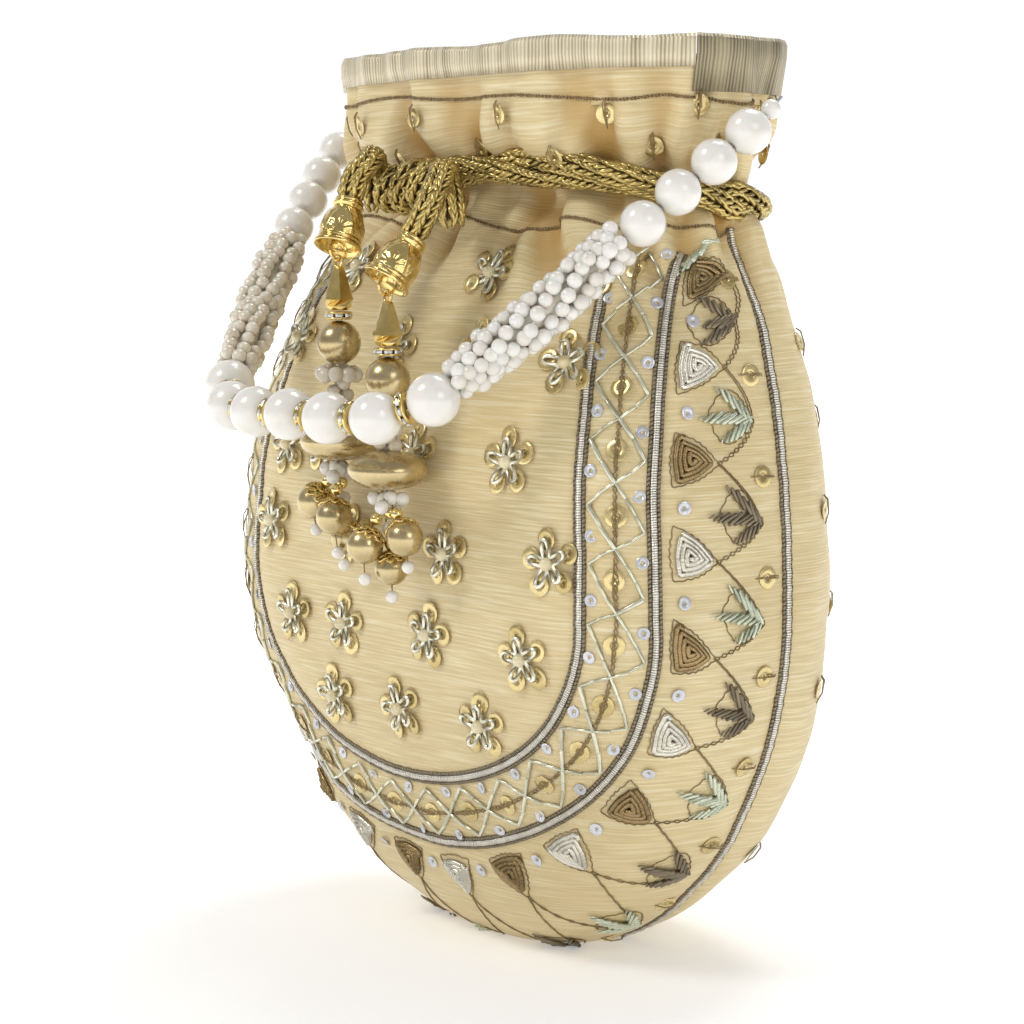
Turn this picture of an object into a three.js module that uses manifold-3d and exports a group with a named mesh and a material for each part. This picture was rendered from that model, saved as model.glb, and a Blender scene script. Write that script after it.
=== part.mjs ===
// Potli bag: a round-bottomed drawstring pouch with a beaded handle and two tassels.
// Millimetres, +Z up, front towards -Y, origin at the middle of the small flat the bag stands on.
import * as THREE from "three";
import { mergeVertices } from "three/addons/utils/BufferGeometryUtils.js";
import Module from "manifold-3d";

const wasm = await Module();
wasm.setup();

// ---- Driving dimensions ----------------------------------------------------------------------
const BAG = {
  halfWidth: 95,          // at the widest height
  frontDepth: 58,         // from the side seams to the front of the belly
  backDepth: 46,          // from the side seams to the middle of the back
  widestHeight: 102,
  sunk: 5,                // how much of the round bottom the standing flat presses in
  bottomPower: 2.4,       // roundness of the bottom seen from the side
  panelThickness: 2.2,    // silk with its bonded wadding
  liningThickness: 1.2,
  layerGap: 1.0,
  seamGap: 1.7,           // half the groove between the two panels, where the piping lies
  rimHeight: 245,
};
// Above the widest height: [height, half width, front depth, back depth]
const UPPER_STATIONS = [
  [102, 95, 58, 46],
  [130, 93.5, 57, 45],
  [155, 89.5, 52.5, 42],
  [175, 84.5, 46, 37],
  [190, 79.5, 38.5, 31],
  [203, 74, 30, 25],
  [214, 71.5, 27, 23.5],
  [224, 74, 33, 26],
  [234, 77.5, 37, 29],
  [245, 81, 37.5, 30],
];
// [height, squareness] of the front half of a level section; the back half stays rounder
const FRONT_SQUARENESS = [[0, 2.6], [49, 2.8], [65, 3.2], [84, 4.1], [115, 4.8], [150, 4.5], [185, 3.8], [214, 2.6], [245, 2.4]];
const BACK_SQUARENESS = 2.4;
const PANEL_COLUMNS = 14;
const LOW_ROWS = 6;

const BAND = { bottom: 238.5, top: 252, thickness: 1.0, gap: 0.6, endGap: 0.06, backDrop: 4, shift: 2 };
const PIPING = { width: 2.6, height: 1.6, gap: 0.35, steps: 48, straight: 0.42, seamProud: 1.3, seamTop: 203, seamRows: 14 };
const CORD = { radius: 4.0, tailRadius: 2.7, gap: 1.2, height: 213, sideDrop: 3.5, frontRise: 3, sides: 8 };

const HANDLE = {
  pivot: [0, -1, 236],    // on the line through both attachments
  coreRadius: 0.5,
  boreRadius: 1.45,
  sidePearl: 6.0,         // radius
  frontPearl: 7.0,
  endBead: 2.6,
  seedRadius: 8.0,
  rondelleRadius: 4.6,
  rondelleHalf: 1.1,
  gap: 0.3,
  firstBead: 2.2,         // from an attachment to the first bead
};
// The strand's middle line from one attachment to the middle of the loop: [half spread, way forward, way down]
const STRAND = [[91.4, 0, 0], [90.6, 5.9, 5.4], [89, 11.1, 10], [86, 18.6, 16.7], [82, 26.4, 23.8], [78, 34.4, 31.4], [72.5, 44, 41.6],
  [67, 53.6, 51.8], [61, 63, 61.4], [54.8, 71.2, 69.8], [48, 78.4, 76.4], [41, 84, 80.4], [33.5, 88, 82.4], [25, 90.3, 83.1], [13, 91.6, 83.1],
  [0, 91.8, 83]];

const TASSEL = {
  ball: 6.1, lentilRadius: 11, lentilHalf: 5.4,
  collarRadius: 5.6, collarHalf: 2.2,
  coneTop: 1.4, coneWide: 4.1, coneFoot: 3.3, coneLength: 12,
  rondelle: 3.9, rondelleHalf: 1.1, gap: 0.3,
};
const CAP = { length: 14.5, top: 3.6, belly: 6.1, rim: 6.8, wall: 0.9, hollow: 4.2, pin: 0.5, pinUp: 0.9 };
const LINK = { ring: 2.7, wire: 0.5, gap: 0.3, eye: 1.6, eyeWire: 0.45 };
const KNOT = { at: [-9, -43.5, 214], half: [13, 5.5, 6] };
const TASSELS = [
  { side: "left", rim: [-14, -66.5, 197], tilt: 24, roll: -8, lentilDrop: 50, across: -1,
    tail: [[-28, -42.5, 210], [-27, -43.5, 217], [-21, -49, 222], [-16.5, -54.5, 220], [-16, -59, 216], [-16.2, -60, 212]] },
  { side: "right", rim: [12.5, -70, 188], tilt: 36, roll: 6, lentilDrop: 47, across: 1,
    tail: [[8, -43.5, 205.5], [8.5, -45, 213], [11.5, -49.5, 217.5], [15.5, -54.5, 214], [16.8, -59, 208], [14.6, -60.8, 202.5]] },
];
// Beads that hang under each lentil, from its middle, for the left tassel: [across, out, down, radius]
const DROPS = [[-9.5, -1.8, 17.5, 5.0], [4.0, -5, 20.5, 5.0], [1.0, 1.6, 27, 4.6]];

const COLOURS = {
  silk: [0xe3c98e, 0.6, 0.0], lining: [0xd9c49a, 0.8, 0.0], ribbon: [0xdccb9d, 0.45, 0.3], tissue: [0xa3946a, 0.4, 0.4],
  piping: [0x8b7c60, 0.5, 0.4], cord: [0xa98a3e, 0.45, 0.6], pearl: [0xf3efe6, 0.25, 0.0], gold: [0xc9a040, 0.25, 1.0],
  stone: [0xb9b4a6, 0.1, 0.5], antique: [0x9c7d45, 0.35, 0.9], wire: [0x9a9a96, 0.4, 1.0],
};
const object = new THREE.Group();
const material = (kind) => {
  const [color, roughness, metalness] = COLOURS[kind];
  return new THREE.MeshStandardMaterial({ color, roughness, metalness });
};
const vec = (x, y, z) => new THREE.Vector3(x, y, z);

// ---- Making solids ---------------------------------------------------------------------------
function addNode(name, geometry, kind, parent = object) {
  const mesh = new THREE.Mesh(geometry, material(kind));
  mesh.name = name;
  parent.add(mesh);
  return mesh;
}

// Keeps position only, merges equal points and drops triangles with no area.
function welded(geometry) {
  const bare = new THREE.BufferGeometry();
  bare.setAttribute("position", geometry.getAttribute("position"));
  if (geometry.index) bare.setIndex(geometry.index);
  const merged = mergeVertices(bare, 1e-3);
  const index = merged.index.array;
  const kept = [];
  for (let i = 0; i < index.length; i += 3) {
    const [a, b, c] = [index[i], index[i + 1], index[i + 2]];
    if (a !== b && b !== c && c !== a) kept.push(a, b, c);
  }
  merged.setIndex(kept);
  return outward(merged);
}

// Turns a closed mesh so that its faces point out: the volume under its faces is then positive.
function outward(geometry) {
  const position = geometry.getAttribute("position");
  const index = Array.from(geometry.index.array);
  const corner = (i) => vec(0, 0, 0).fromBufferAttribute(position, index[i]);
  let volume = 0;
  for (let i = 0; i < index.length; i += 3) volume += corner(i).dot(corner(i + 1).cross(corner(i + 2)));
  if (volume < 0) index.reverse();
  geometry.setIndex(index);
  geometry.computeVertexNormals();
  return geometry;
}

// Closed solid from rows of points; each row closes on itself. An end row that goes out along a strip and
// back is capped across the strip, and any other by a fan.
function loft(rows, strip = false) {
  const count = rows[0].length;
  const positions = rows.flat().flatMap((p) => [p.x, p.y, p.z]);
  const index = [];
  for (let r = 0; r + 1 < rows.length; r++) {
    for (let i = 0; i < count; i++) {
      const j = (i + 1) % count;
      const [a, b, c, d] = [r * count + i, r * count + j, (r + 1) * count + j, (r + 1) * count + i];
      index.push(a, b, c, a, c, d);
    }
  }
  const last = (rows.length - 1) * count;
  for (let i = 1; i + 1 < count; i++) {
    const [p, q, r] = strip ? stripCorner(i, count) : [0, i, i + 1];
    index.push(p, r, q);
    index.push(last + p, last + q, last + r);
  }
  const geometry = new THREE.BufferGeometry();
  geometry.setAttribute("position", new THREE.Float32BufferAttribute(positions, 3));
  geometry.setIndex(index);
  return welded(geometry);
}

// The triangles across a strip whose points are numbered out along one edge and back along the other.
function stripCorner(i, count) {
  const k = Math.floor((i - 1) / 2);
  const back = count - 1 - k;
  return i % 2 === 1 ? [k, k + 1, back] : [k + 1, back - 1, back];
}

function tube(points, radius, sides, steps) {
  const curve = new THREE.CatmullRomCurve3(points, false, "centripetal");
  const section = new THREE.Shape();
  for (let i = 0; i < sides; i++) {
    const a = (2 * Math.PI * i) / sides;
    if (i === 0) section.moveTo(radius * Math.cos(a), radius * Math.sin(a));
    else section.lineTo(radius * Math.cos(a), radius * Math.sin(a));
  }
  return new THREE.ExtrudeGeometry(section, { steps, extrudePath: curve, bevelEnabled: false });
}

const lathe = (points, segments) => {
  const profile = points.map(([r, h]) => new THREE.Vector2(r, h));
  return welded(new THREE.LatheGeometry(profile, segments)).rotateX(Math.PI / 2);
};

const toSolid = (geometry) => {
  const g = welded(geometry);
  const mesh = new wasm.Mesh({
    numProp: 3,
    vertProperties: new Float32Array(g.getAttribute("position").array),
    triVerts: new Uint32Array(g.index.array),
  });
  return new wasm.Manifold(mesh);
};

const toGeometry = (solid) => {
  const mesh = solid.getMesh();
  const geometry = new THREE.BufferGeometry();
  geometry.setAttribute("position", new THREE.BufferAttribute(mesh.vertProperties, 3));
  geometry.setIndex(new THREE.BufferAttribute(mesh.triVerts, 1));
  geometry.computeVertexNormals();
  return geometry;
};

// ---- The bag's surface -----------------------------------------------------------------------
function between(table, height) {
  if (height <= table[0][0]) return table[0].slice(1);
  for (let i = 0; i + 1 < table.length; i++) {
    const [from, to] = [table[i], table[i + 1]];
    if (height <= to[0]) {
      const t = (height - from[0]) / (to[0] - from[0]);
      return from.slice(1).map((v, k) => v + (to[k + 1] - v) * t);
    }
  }
  return table[table.length - 1].slice(1);
}

// Half width, front depth and back depth of the level section at a height, offset inwards.
function section(height, offset) {
  if (height >= BAG.widestHeight) return between(UPPER_STATIONS, height).map((v) => v - offset);
  const drop = BAG.widestHeight + BAG.sunk - offset;
  const u = Math.min(1, (BAG.widestHeight - height) / drop);
  const side = (1 - u ** BAG.bottomPower) ** (1 / BAG.bottomPower);
  return [(BAG.halfWidth - offset) * Math.sqrt(1 - u * u), (BAG.frontDepth - offset) * side, (BAG.backDepth - offset) * side];
}

// A point of the bag at a height and an angle round it: 0 is the +X seam and -90 degrees the middle of the front.
function bagPoint(height, angle, offset) {
  const [width, front, back] = section(height, offset);
  const [c, s] = [Math.cos(angle), Math.sin(angle)];
  const power = s < 0 ? between(FRONT_SQUARENESS, height)[0] : BACK_SQUARENESS;
  const reach = (Math.abs(c) ** power + Math.abs(s) ** power) ** (-1 / power);
  return vec(width * c * reach, (s < 0 ? front : back) * s * reach, Math.max(height, offset));
}

// Heights of the rows: even steps of angle round the bottom, then the stations up to the rim.
function rowHeights(lowRows, top, offset) {
  const heights = [];
  const drop = BAG.widestHeight + BAG.sunk - offset;
  for (let i = 0; i < lowRows; i++) heights.push(BAG.widestHeight - drop * Math.cos((Math.PI / 2) * (i / lowRows)));
  for (const [height] of UPPER_STATIONS) if (height < top - 1) heights.push(height);
  heights.push(top);
  return heights;
}

// A shell between two offsets, over a range of angles; side edges stop at the seam groove.
function panel(front) {
  const columns = PANEL_COLUMNS;
  const sign = front ? -1 : 1;
  const start = front ? -Math.PI : 0;
  const at = (height, offset, i) => bagPoint(height, start + (Math.PI * i) / columns, offset);
  const skinPoint = (height, offset, i) => {
    const p = at(height, offset, i);
    const inner = at(height, offset, Math.min(Math.max(i, 1), columns - 1));
    if (Math.abs(inner.y) > BAG.seamGap && inner.y !== p.y) p.lerp(inner, BAG.seamGap / Math.abs(inner.y));
    if (Math.abs(p.y) < BAG.seamGap) p.y = sign * BAG.seamGap;
    return p;
  };
  const outer = rowHeights(LOW_ROWS, BAG.rimHeight, 0);
  const inner = rowHeights(LOW_ROWS, BAG.rimHeight, BAG.panelThickness);
  const rows = outer.map((height, r) => {
    const row = [];
    for (let i = 0; i <= columns; i++) row.push(skinPoint(height, 0, i));
    for (let i = columns; i >= 0; i--) row.push(skinPoint(inner[r], BAG.panelThickness, i));
    return row;
  });
  return loft(rows, true);
}

// The lining is a pouch of its own, open at the mouth, just inside the panels.
function liningPouch() {
  const columns = 2 * PANEL_COLUMNS;
  const outside = BAG.panelThickness + BAG.layerGap;
  const ring = (height, offset) => {
    const row = [];
    for (let i = 0; i < columns; i++) row.push(bagPoint(height, (2 * Math.PI * i) / columns, offset));
    return row;
  };
  const inside = outside + BAG.liningThickness;
  const outer = rowHeights(LOW_ROWS, BAG.rimHeight, outside).map((h) => ring(h, outside));
  const inner = rowHeights(LOW_ROWS, BAG.rimHeight, inside).map((h) => ring(h, inside));
  return loft([...outer, ...inner.reverse()]);
}

// Half of the ribbon round the mouth, over the panels' top edge. It starts at an angle in whole columns.
function mouthBand(startColumn, bottom) {
  const levels = [bottom, BAG.rimHeight, BAND.top];
  const outside = (height, angle) => bagPoint(height, angle, -BAND.gap - BAND.thickness).setZ(height);
  const inside = (height, angle) => bagPoint(height, angle, -BAND.gap).setZ(height);
  const rows = [];
  for (let i = 0; i <= PANEL_COLUMNS; i++) {
    const angle = (Math.PI * (startColumn + i)) / PANEL_COLUMNS;
    rows.push([...levels.map((h) => outside(h, angle)), ...levels.map((h) => inside(h, angle)).reverse()]);
  }
  const last = PANEL_COLUMNS;
  rows[0] = rows[0].map((p, k) => p.clone().lerp(rows[1][k], BAND.endGap));
  rows[last] = rows[last].map((p, k) => p.clone().lerp(rows[last - 1][k], BAND.endGap));
  return loft(rows, true);
}

function makeBag() {
  addNode("front_panel", panel(true), "silk");
  addNode("back_panel", panel(false), "silk");
  addNode("lining", liningPouch(), "lining");
  addNode("mouth_band_front", mouthBand(-PANEL_COLUMNS - BAND.shift, BAND.bottom), "ribbon");
  addNode("mouth_band_back", mouthBand(-BAND.shift, BAND.bottom - BAND.backDrop), "tissue");
}

// ---- Pipings ---------------------------------------------------------------------------------
// A flat cord that lies on the bag along a path of points, each given with the way out of the surface.
function pipingSolid(points, outs) {
  const half = PIPING.width / 2;
  const rows = points.map((point, i) => {
    const along = points[Math.min(i + 1, points.length - 1)].clone().sub(points[Math.max(i - 1, 0)]).normalize();
    const out = outs[i];
    const across = vec(0, 0, 0).crossVectors(along, out).normalize();
    const foot = point.clone().addScaledVector(out, PIPING.gap);
    const at = (side, up) => foot.clone().addScaledVector(across, side * half).addScaledVector(out, up);
    const shoulder = 0.75 * PIPING.height;
    return [at(-1, 0), at(-0.6, shoulder), at(0, PIPING.height), at(0.6, shoulder), at(1, 0)].reverse();
  });
  return loft(rows);
}

function surfaceOut(height, angle) {
  const step = 0.01;
  const across = bagPoint(height, angle + step, 0).sub(bagPoint(height, angle - step, 0));
  const up = bagPoint(height + 1, angle, 0).sub(bagPoint(height - 1, angle, 0));
  return vec(0, 0, 0).crossVectors(across, up).normalize();
}

// The angle at which the front section has a given half width, found by halving.
function angleAtWidth(height, width) {
  let [low, high] = [-Math.PI / 2, 0];
  for (let i = 0; i < 40; i++) {
    const middle = (low + high) / 2;
    if (bagPoint(height, middle, 0).x < width) low = middle;
    else high = middle;
  }
  return (low + high) / 2;
}

// A U on the front: two sides that run down from the neck, and a half ellipse round the bottom.
function frontLoop(top, upper, halfWidth, bottom) {
  const [points, outs] = [[], []];
  const bend = BAG.widestHeight;
  const side = [];
  for (let i = 0; i <= PIPING.steps / 2; i++) {
    const t = i / (PIPING.steps / 2);
    if (t < PIPING.straight) {
      const rise = 1 - t / PIPING.straight;
      side.push([bend + (top - bend) * rise, halfWidth - (halfWidth - upper) * rise * rise]);
    } else {
      const turn = ((t - PIPING.straight) / (1 - PIPING.straight)) * (Math.PI / 2);
      side.push([bend - (bend - bottom) * Math.sin(turn), halfWidth * Math.cos(turn)]);
    }
  }
  const place = (height, width, mirror) => {
    const angle = angleAtWidth(height, width);
    const point = bagPoint(height, angle, 0);
    const out = surfaceOut(height, angle);
    points.push(vec(mirror * point.x, point.y, point.z));
    outs.push(vec(mirror * out.x, out.y, out.z));
  };
  for (const [height, width] of side) place(height, width, 1);
  for (const [height, width] of side.slice(0, -1).reverse()) place(height, width, -1);
  return pipingSolid(points, outs);
}

// The outer piping lies in the groove between the two panels, from the neck round the bottom.
function seamPiping() {
  const rows = [];
  const heights = rowHeights(PIPING.seamRows, PIPING.seamTop, 0).filter((h) => h > -BAG.sunk + 0.01);
  const side = heights.map((h) => vec(section(h, 0)[0], 0, Math.max(h, 0))).reverse();
  const line = [...side, vec(0, 0, 0), ...side.slice().reverse().map((p) => vec(-p.x, 0, p.z))];
  const half = BAG.seamGap - PIPING.gap;
  line.forEach((p, i) => {
    const along = line[Math.min(i + 1, line.length - 1)].clone().sub(line[Math.max(i - 1, 0)]).normalize();
    const out = vec(-along.z, 0, along.x);
    const proud = p.z < 0.5 ? 0 : PIPING.seamProud;
    const at = (y, reach) => p.clone().addScaledVector(out, reach).setY(y);
    const inset = -PIPING.height;
    rows.push([at(half, inset), at(half, proud / 2), at(0, proud), at(-half, proud / 2), at(-half, inset)]);
  });
  return loft(rows.map((row) => row.map((p) => p.setZ(Math.max(p.z, 0)))));
}

function makePipings() {
  addNode("inner_piping", frontLoop(197, 58, 73, 50), "piping");
  addNode("middle_piping", frontLoop(197, 73, 89.5, 31), "piping");
  addNode("outer_piping", seamPiping(), "piping");
}

// ---- Drawcord --------------------------------------------------------------------------------
// A closed ring swept round the neck, lying on the cloth.
function drawcordRing() {
  const around = 32;
  const line = [];
  for (let i = 0; i < around; i++) {
    const angle = (2 * Math.PI * i) / around;
    const height = CORD.height - CORD.sideDrop * Math.cos(angle) - CORD.frontRise * Math.sin(angle);
    line.push(bagPoint(height, angle, -CORD.radius - CORD.gap).setZ(height));
  }
  return ringAlong(line, CORD.radius, CORD.sides, vec(0, 0, 1));
}

// A closed tube along a loop of points; up is a direction that the loop never runs along.
function ringAlong(line, radius, sides, up) {
  const total = line.length;
  const positions = [];
  const index = [];
  line.forEach((here, r) => {
    const along = line[(r + 1) % total].clone().sub(line[(r + total - 1) % total]).normalize();
    const away = vec(0, 0, 0).crossVectors(along, up).normalize();
    const rise = vec(0, 0, 0).crossVectors(away, along);
    for (let i = 0; i < sides; i++) {
      const a = (2 * Math.PI * i) / sides;
      const p = here.clone().addScaledVector(away, radius * Math.cos(a)).addScaledVector(rise, radius * Math.sin(a));
      positions.push(p.x, p.y, p.z);
      const [j, n] = [(i + 1) % sides, (r + 1) % total];
      index.push(r * sides + i, r * sides + j, n * sides + j, r * sides + i, n * sides + j, n * sides + i);
    }
  });
  const geometry = new THREE.BufferGeometry();
  geometry.setAttribute("position", new THREE.Float32BufferAttribute(positions, 3));
  geometry.setIndex(index);
  return welded(geometry);
}

function makeDrawcord() {
  addNode("drawcord", drawcordRing(), "cord");
  const wrap = new THREE.SphereGeometry(1, 12, 8).scale(KNOT.half[0], KNOT.half[1], KNOT.half[2]);
  addNode("cord_knot", welded(wrap), "cord").position.set(...KNOT.at);
  TASSELS.forEach(({ side, tail }) => {
    const points = tail.map((p) => vec(...p));
    addNode(`cord_tail_${side}`, tube(points, CORD.tailRadius, 8, 12), "cord");
  });
}

// ---- Handle ----------------------------------------------------------------------------------
// A point of the strand: across the bag, forward and down from the line of its attachments.
function strandPoint(across, forward, down) {
  const [, y, z] = HANDLE.pivot;
  return vec(across, y - forward, z - down);
}

function strandCurve() {
  const left = STRAND.slice(0, -1).reverse().map(([across, forward, down]) => [-across, forward, down]);
  return new THREE.CatmullRomCurve3([...STRAND, ...left].map((row) => strandPoint(...row)), false, "centripetal");
}

// Puts a bead's own axis, its Z, along the strand at a distance from the strand's start.
function threadBead(name, geometry, kind, curve, distance) {
  const u = distance / curve.getLength();
  const mesh = addNode(name, geometry, kind);
  mesh.position.copy(curve.getPointAt(u));
  mesh.quaternion.setFromUnitVectors(vec(0, 0, 1), curve.getTangentAt(u));
}

// A round bead with its hole: an arc outside and a straight bore, turned round the bead's axis.
function boredBead(radius, bore, segments = 12) {
  const end = Math.asin(bore / radius);
  const arc = [];
  for (let i = 0; i <= 7; i++) {
    const a = end + ((Math.PI - 2 * end) * i) / 7;
    arc.push([radius * Math.sin(a), radius * Math.cos(a)]);
  }
  return lathe([...arc, arc[0]], segments);
}

const disc = (radius, half, bore, segments) =>
  lathe([[bore, half], [radius * 0.86, half], [radius, 0], [radius * 0.86, -half], [bore, -half], [bore, half]], segments);

// A stretch of small pearls strung side by side in several strands, as one fat sleeve round the wire.
function seedSleeve(curve, from, to) {
  const length = curve.getLength();
  const points = [];
  for (let i = 0; i <= 6; i++) points.push(curve.getPointAt((from + ((to - from) * i) / 6) / length));
  const path = new THREE.CatmullRomCurve3(points, false, "centripetal");
  const ringOf = (radius, count, Maker) => {
    const shape = new Maker();
    for (let i = 0; i < count; i++) {
      const a = (2 * Math.PI * i) / count;
      if (i === 0) shape.moveTo(radius * Math.cos(a), radius * Math.sin(a));
      else shape.lineTo(radius * Math.cos(a), radius * Math.sin(a));
    }
    shape.closePath();
    return shape;
  };
  const section = ringOf(HANDLE.seedRadius, 10, THREE.Shape);
  section.holes.push(ringOf(HANDLE.boreRadius + 0.5, 6, THREE.Path));
  return new THREE.ExtrudeGeometry(section, { steps: 8, extrudePath: path, bevelEnabled: false });
}

function makeHandle() {
  const curve = strandCurve();
  const total = curve.getLength();
  const { sidePearl, frontPearl, endBead, rondelleHalf, boreRadius, gap } = HANDLE;
  addNode("handle_core", tube(curve.getSpacedPoints(40), HANDLE.coreRadius, 6, 42), "wire");
  const sides = [["right", (d) => d], ["left", (d) => total - d]];
  let reach;
  for (const [side, from] of sides) {
    reach = HANDLE.firstBead;
    threadBead(`handle_end_bead_${side}`, boredBead(endBead, boreRadius, 10), "pearl", curve, from(reach + endBead));
    reach += 2 * endBead + gap;
    for (let i = 1; i <= 4; i++) {
      threadBead(`side_pearl_${side}_${i}`, boredBead(sidePearl, boreRadius), "pearl", curve, from(reach + sidePearl));
      reach += 2 * sidePearl + gap;
    }
  }
  const [middle, pitch] = [total / 2, 2 * frontPearl + 2 * rondelleHalf + 2 * gap];
  for (let i = 0; i < 7; i++) {
    const place = middle + (i - 3) * pitch;
    threadBead(`front_pearl_${i + 1}`, boredBead(frontPearl, boreRadius), "pearl", curve, place);
    if (i === 6) continue;
    const ring = disc(HANDLE.rondelleRadius, rondelleHalf, boreRadius, 10);
    threadBead(`rondelle_${i + 1}`, ring, "stone", curve, place + pitch / 2);
  }
  const frontStart = middle - 3 * pitch - frontPearl - gap;
  addNode("seed_strands_right", seedSleeve(curve, reach + gap, frontStart - gap), "pearl");
  addNode("seed_strands_left", seedSleeve(curve, total - frontStart + gap, total - reach - gap), "pearl");
}

// ---- Tassels ---------------------------------------------------------------------------------
const ringLine = (radius, count, place) => {
  const line = [];
  for (let i = 0; i < count; i++) {
    const a = (2 * Math.PI * i) / count;
    line.push(place(radius * Math.cos(a), radius * Math.sin(a)));
  }
  return line;
};

// A bell-shaped cap, open below, with a pin across its hollow. Its origin is the middle of its rim.
function bellCap() {
  const { length, top, belly, rim, wall, hollow } = CAP;
  const outside = [[0, length], [top, length], [top + 0.9, length - 1.2], [top + 0.3, length - 2.2], [belly, length * 0.45],
    [belly - 0.2, 2.2], [rim, 1.1], [rim, 0]];
  const inside = [[rim - wall, 0], [belly - wall, 2.2], [belly - wall - 0.6, hollow], [0, hollow]];
  const bell = toSolid(lathe([...outside, ...inside], 16));
  const pin = new THREE.CylinderGeometry(CAP.pin, CAP.pin, 2 * belly - wall, 8).rotateZ(Math.PI / 2).translate(0, 0, CAP.pinUp);
  return toGeometry(bell.add(toSolid(pin)));
}

// A faceted cone with a wire eye on top; its origin is the middle of the link's lowest wire.
function eyedCone() {
  const { coneTop, coneWide, coneFoot, coneLength } = TASSEL;
  const { eye, eyeWire, gap, wire } = LINK;
  const eyeCentre = wire + gap + eyeWire - eye;
  const neck = eyeCentre - eye + 0.2;
  const foot = neck - coneLength;
  const body = toSolid(lathe([[0, neck], [coneTop, neck], [coneWide, foot + 2.8], [coneFoot, foot], [0, foot]], 6));
  const loop = ringAlong(ringLine(eye, 12, (a, b) => vec(a, 0, b + eyeCentre)), eyeWire, 6, vec(0, 1, 0));
  return { geometry: toGeometry(body.add(toSolid(loop))), foot };
}

const ball = (radius) => welded(new THREE.SphereGeometry(radius, 12, 8));

function makeTassel({ side, rim, tilt, roll, lentilDrop, across }) {
  const cap = addNode(`bell_cap_${side}`, bellCap(), "gold");
  cap.position.set(...rim);
  cap.rotation.set(THREE.MathUtils.degToRad(-tilt), THREE.MathUtils.degToRad(roll), 0);
  cap.updateMatrixWorld(true);
  const pin = cap.localToWorld(vec(0, 0, CAP.pinUp));
  const linkGroup = new THREE.Group();
  linkGroup.position.set(pin.x, pin.y, pin.z - (LINK.ring - LINK.wire - LINK.gap - CAP.pin));
  linkGroup.rotation.set(0, THREE.MathUtils.degToRad(roll), 0);
  object.add(linkGroup);
  const ring = ringAlong(ringLine(LINK.ring, 14, (a, b) => vec(0, a, b)), LINK.wire, 6, vec(1, 0, 0));
  addNode(`link_${side}`, ring, "gold", linkGroup);

  const group = new THREE.Group();
  group.position.copy(linkGroup.position).add(vec(0, 0, -LINK.ring));
  object.add(group);
  const { geometry, foot } = eyedCone();
  addNode(`cone_${side}`, geometry, "gold", group);
  let below = foot - TASSEL.gap;
  const hang = (name, shape, half, kind) => {
    addNode(`${name}_${side}`, shape, kind, group).position.z = below - half;
    below -= 2 * half + TASSEL.gap;
  };
  hang("tassel_rondelle", disc(TASSEL.rondelle, TASSEL.rondelleHalf, 0, 10), TASSEL.rondelleHalf, "stone");
  hang("tassel_ball", ball(TASSEL.ball), TASSEL.ball, "antique");
  hang("pearl_collar", disc(TASSEL.collarRadius, TASSEL.collarHalf, 0, 12), TASSEL.collarHalf, "pearl");
  const lentil = ball(TASSEL.lentilRadius).rotateX(Math.PI / 2).scale(1, 1, TASSEL.lentilHalf / TASSEL.lentilRadius);
  addNode(`lentil_bead_${side}`, lentil, "antique", group).position.z = -lentilDrop;
  DROPS.forEach(([aside, out, down, radius], i) => {
    const drop = addNode(`drop_pearl_${side}_${i + 1}`, ball(radius), "antique", group);
    drop.position.set(-across * aside, out, -lentilDrop - down);
  });
}

makeBag();
makePipings();
makeDrawcord();
makeHandle();
TASSELS.forEach(makeTassel);

export default object;
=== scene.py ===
"""Looks of a potli bag: embroidered silk pouch, knitted drawcord with tassels, and a beaded loop handle.

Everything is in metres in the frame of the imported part: +Z up, the embroidered front towards -Y.
"""

import logging
import math
from collections.abc import Callable
from dataclasses import dataclass, field
from enum import Enum

import bpy
import numpy as np
from mathutils import Matrix, Vector

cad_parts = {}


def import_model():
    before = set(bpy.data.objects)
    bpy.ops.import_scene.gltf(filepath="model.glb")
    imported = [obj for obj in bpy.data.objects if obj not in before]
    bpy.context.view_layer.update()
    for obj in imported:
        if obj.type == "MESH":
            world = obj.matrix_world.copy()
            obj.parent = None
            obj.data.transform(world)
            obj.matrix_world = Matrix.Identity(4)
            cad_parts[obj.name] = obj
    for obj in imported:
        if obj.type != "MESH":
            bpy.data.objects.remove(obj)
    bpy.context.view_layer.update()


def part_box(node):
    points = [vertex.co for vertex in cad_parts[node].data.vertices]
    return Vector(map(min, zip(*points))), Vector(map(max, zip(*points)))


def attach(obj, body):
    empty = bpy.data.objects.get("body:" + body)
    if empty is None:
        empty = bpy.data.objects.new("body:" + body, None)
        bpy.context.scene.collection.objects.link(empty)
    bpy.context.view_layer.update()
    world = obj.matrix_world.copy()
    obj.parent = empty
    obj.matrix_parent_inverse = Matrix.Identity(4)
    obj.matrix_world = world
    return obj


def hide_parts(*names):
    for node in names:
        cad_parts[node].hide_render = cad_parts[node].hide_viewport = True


log = logging.getLogger("potli")
MM = 0.001
TURN = math.tau
Array = np.ndarray
Thing = bpy.types.Object
Socket = bpy.types.NodeSocket
Material = bpy.types.Material
UP = np.array([0, 0, 1.0])
EAST = np.array([1.0, 0, 0])


# ---- Small mathematics
def unit(v: Array) -> Array:
    """Vectors scaled to length 1, along the last axis."""
    return v / np.maximum(np.linalg.norm(v, axis=-1, keepdims=True), 1e-12)


def around(count: int) -> Array:
    """Angles once round, without the last one."""
    return np.linspace(0, TURN, count, endpoint=False)


def distances(line: Array) -> Array:
    """Distance run at each point of a line."""
    return np.r_[0, np.cumsum(np.linalg.norm(np.diff(line, axis=0), axis=1))]


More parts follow.
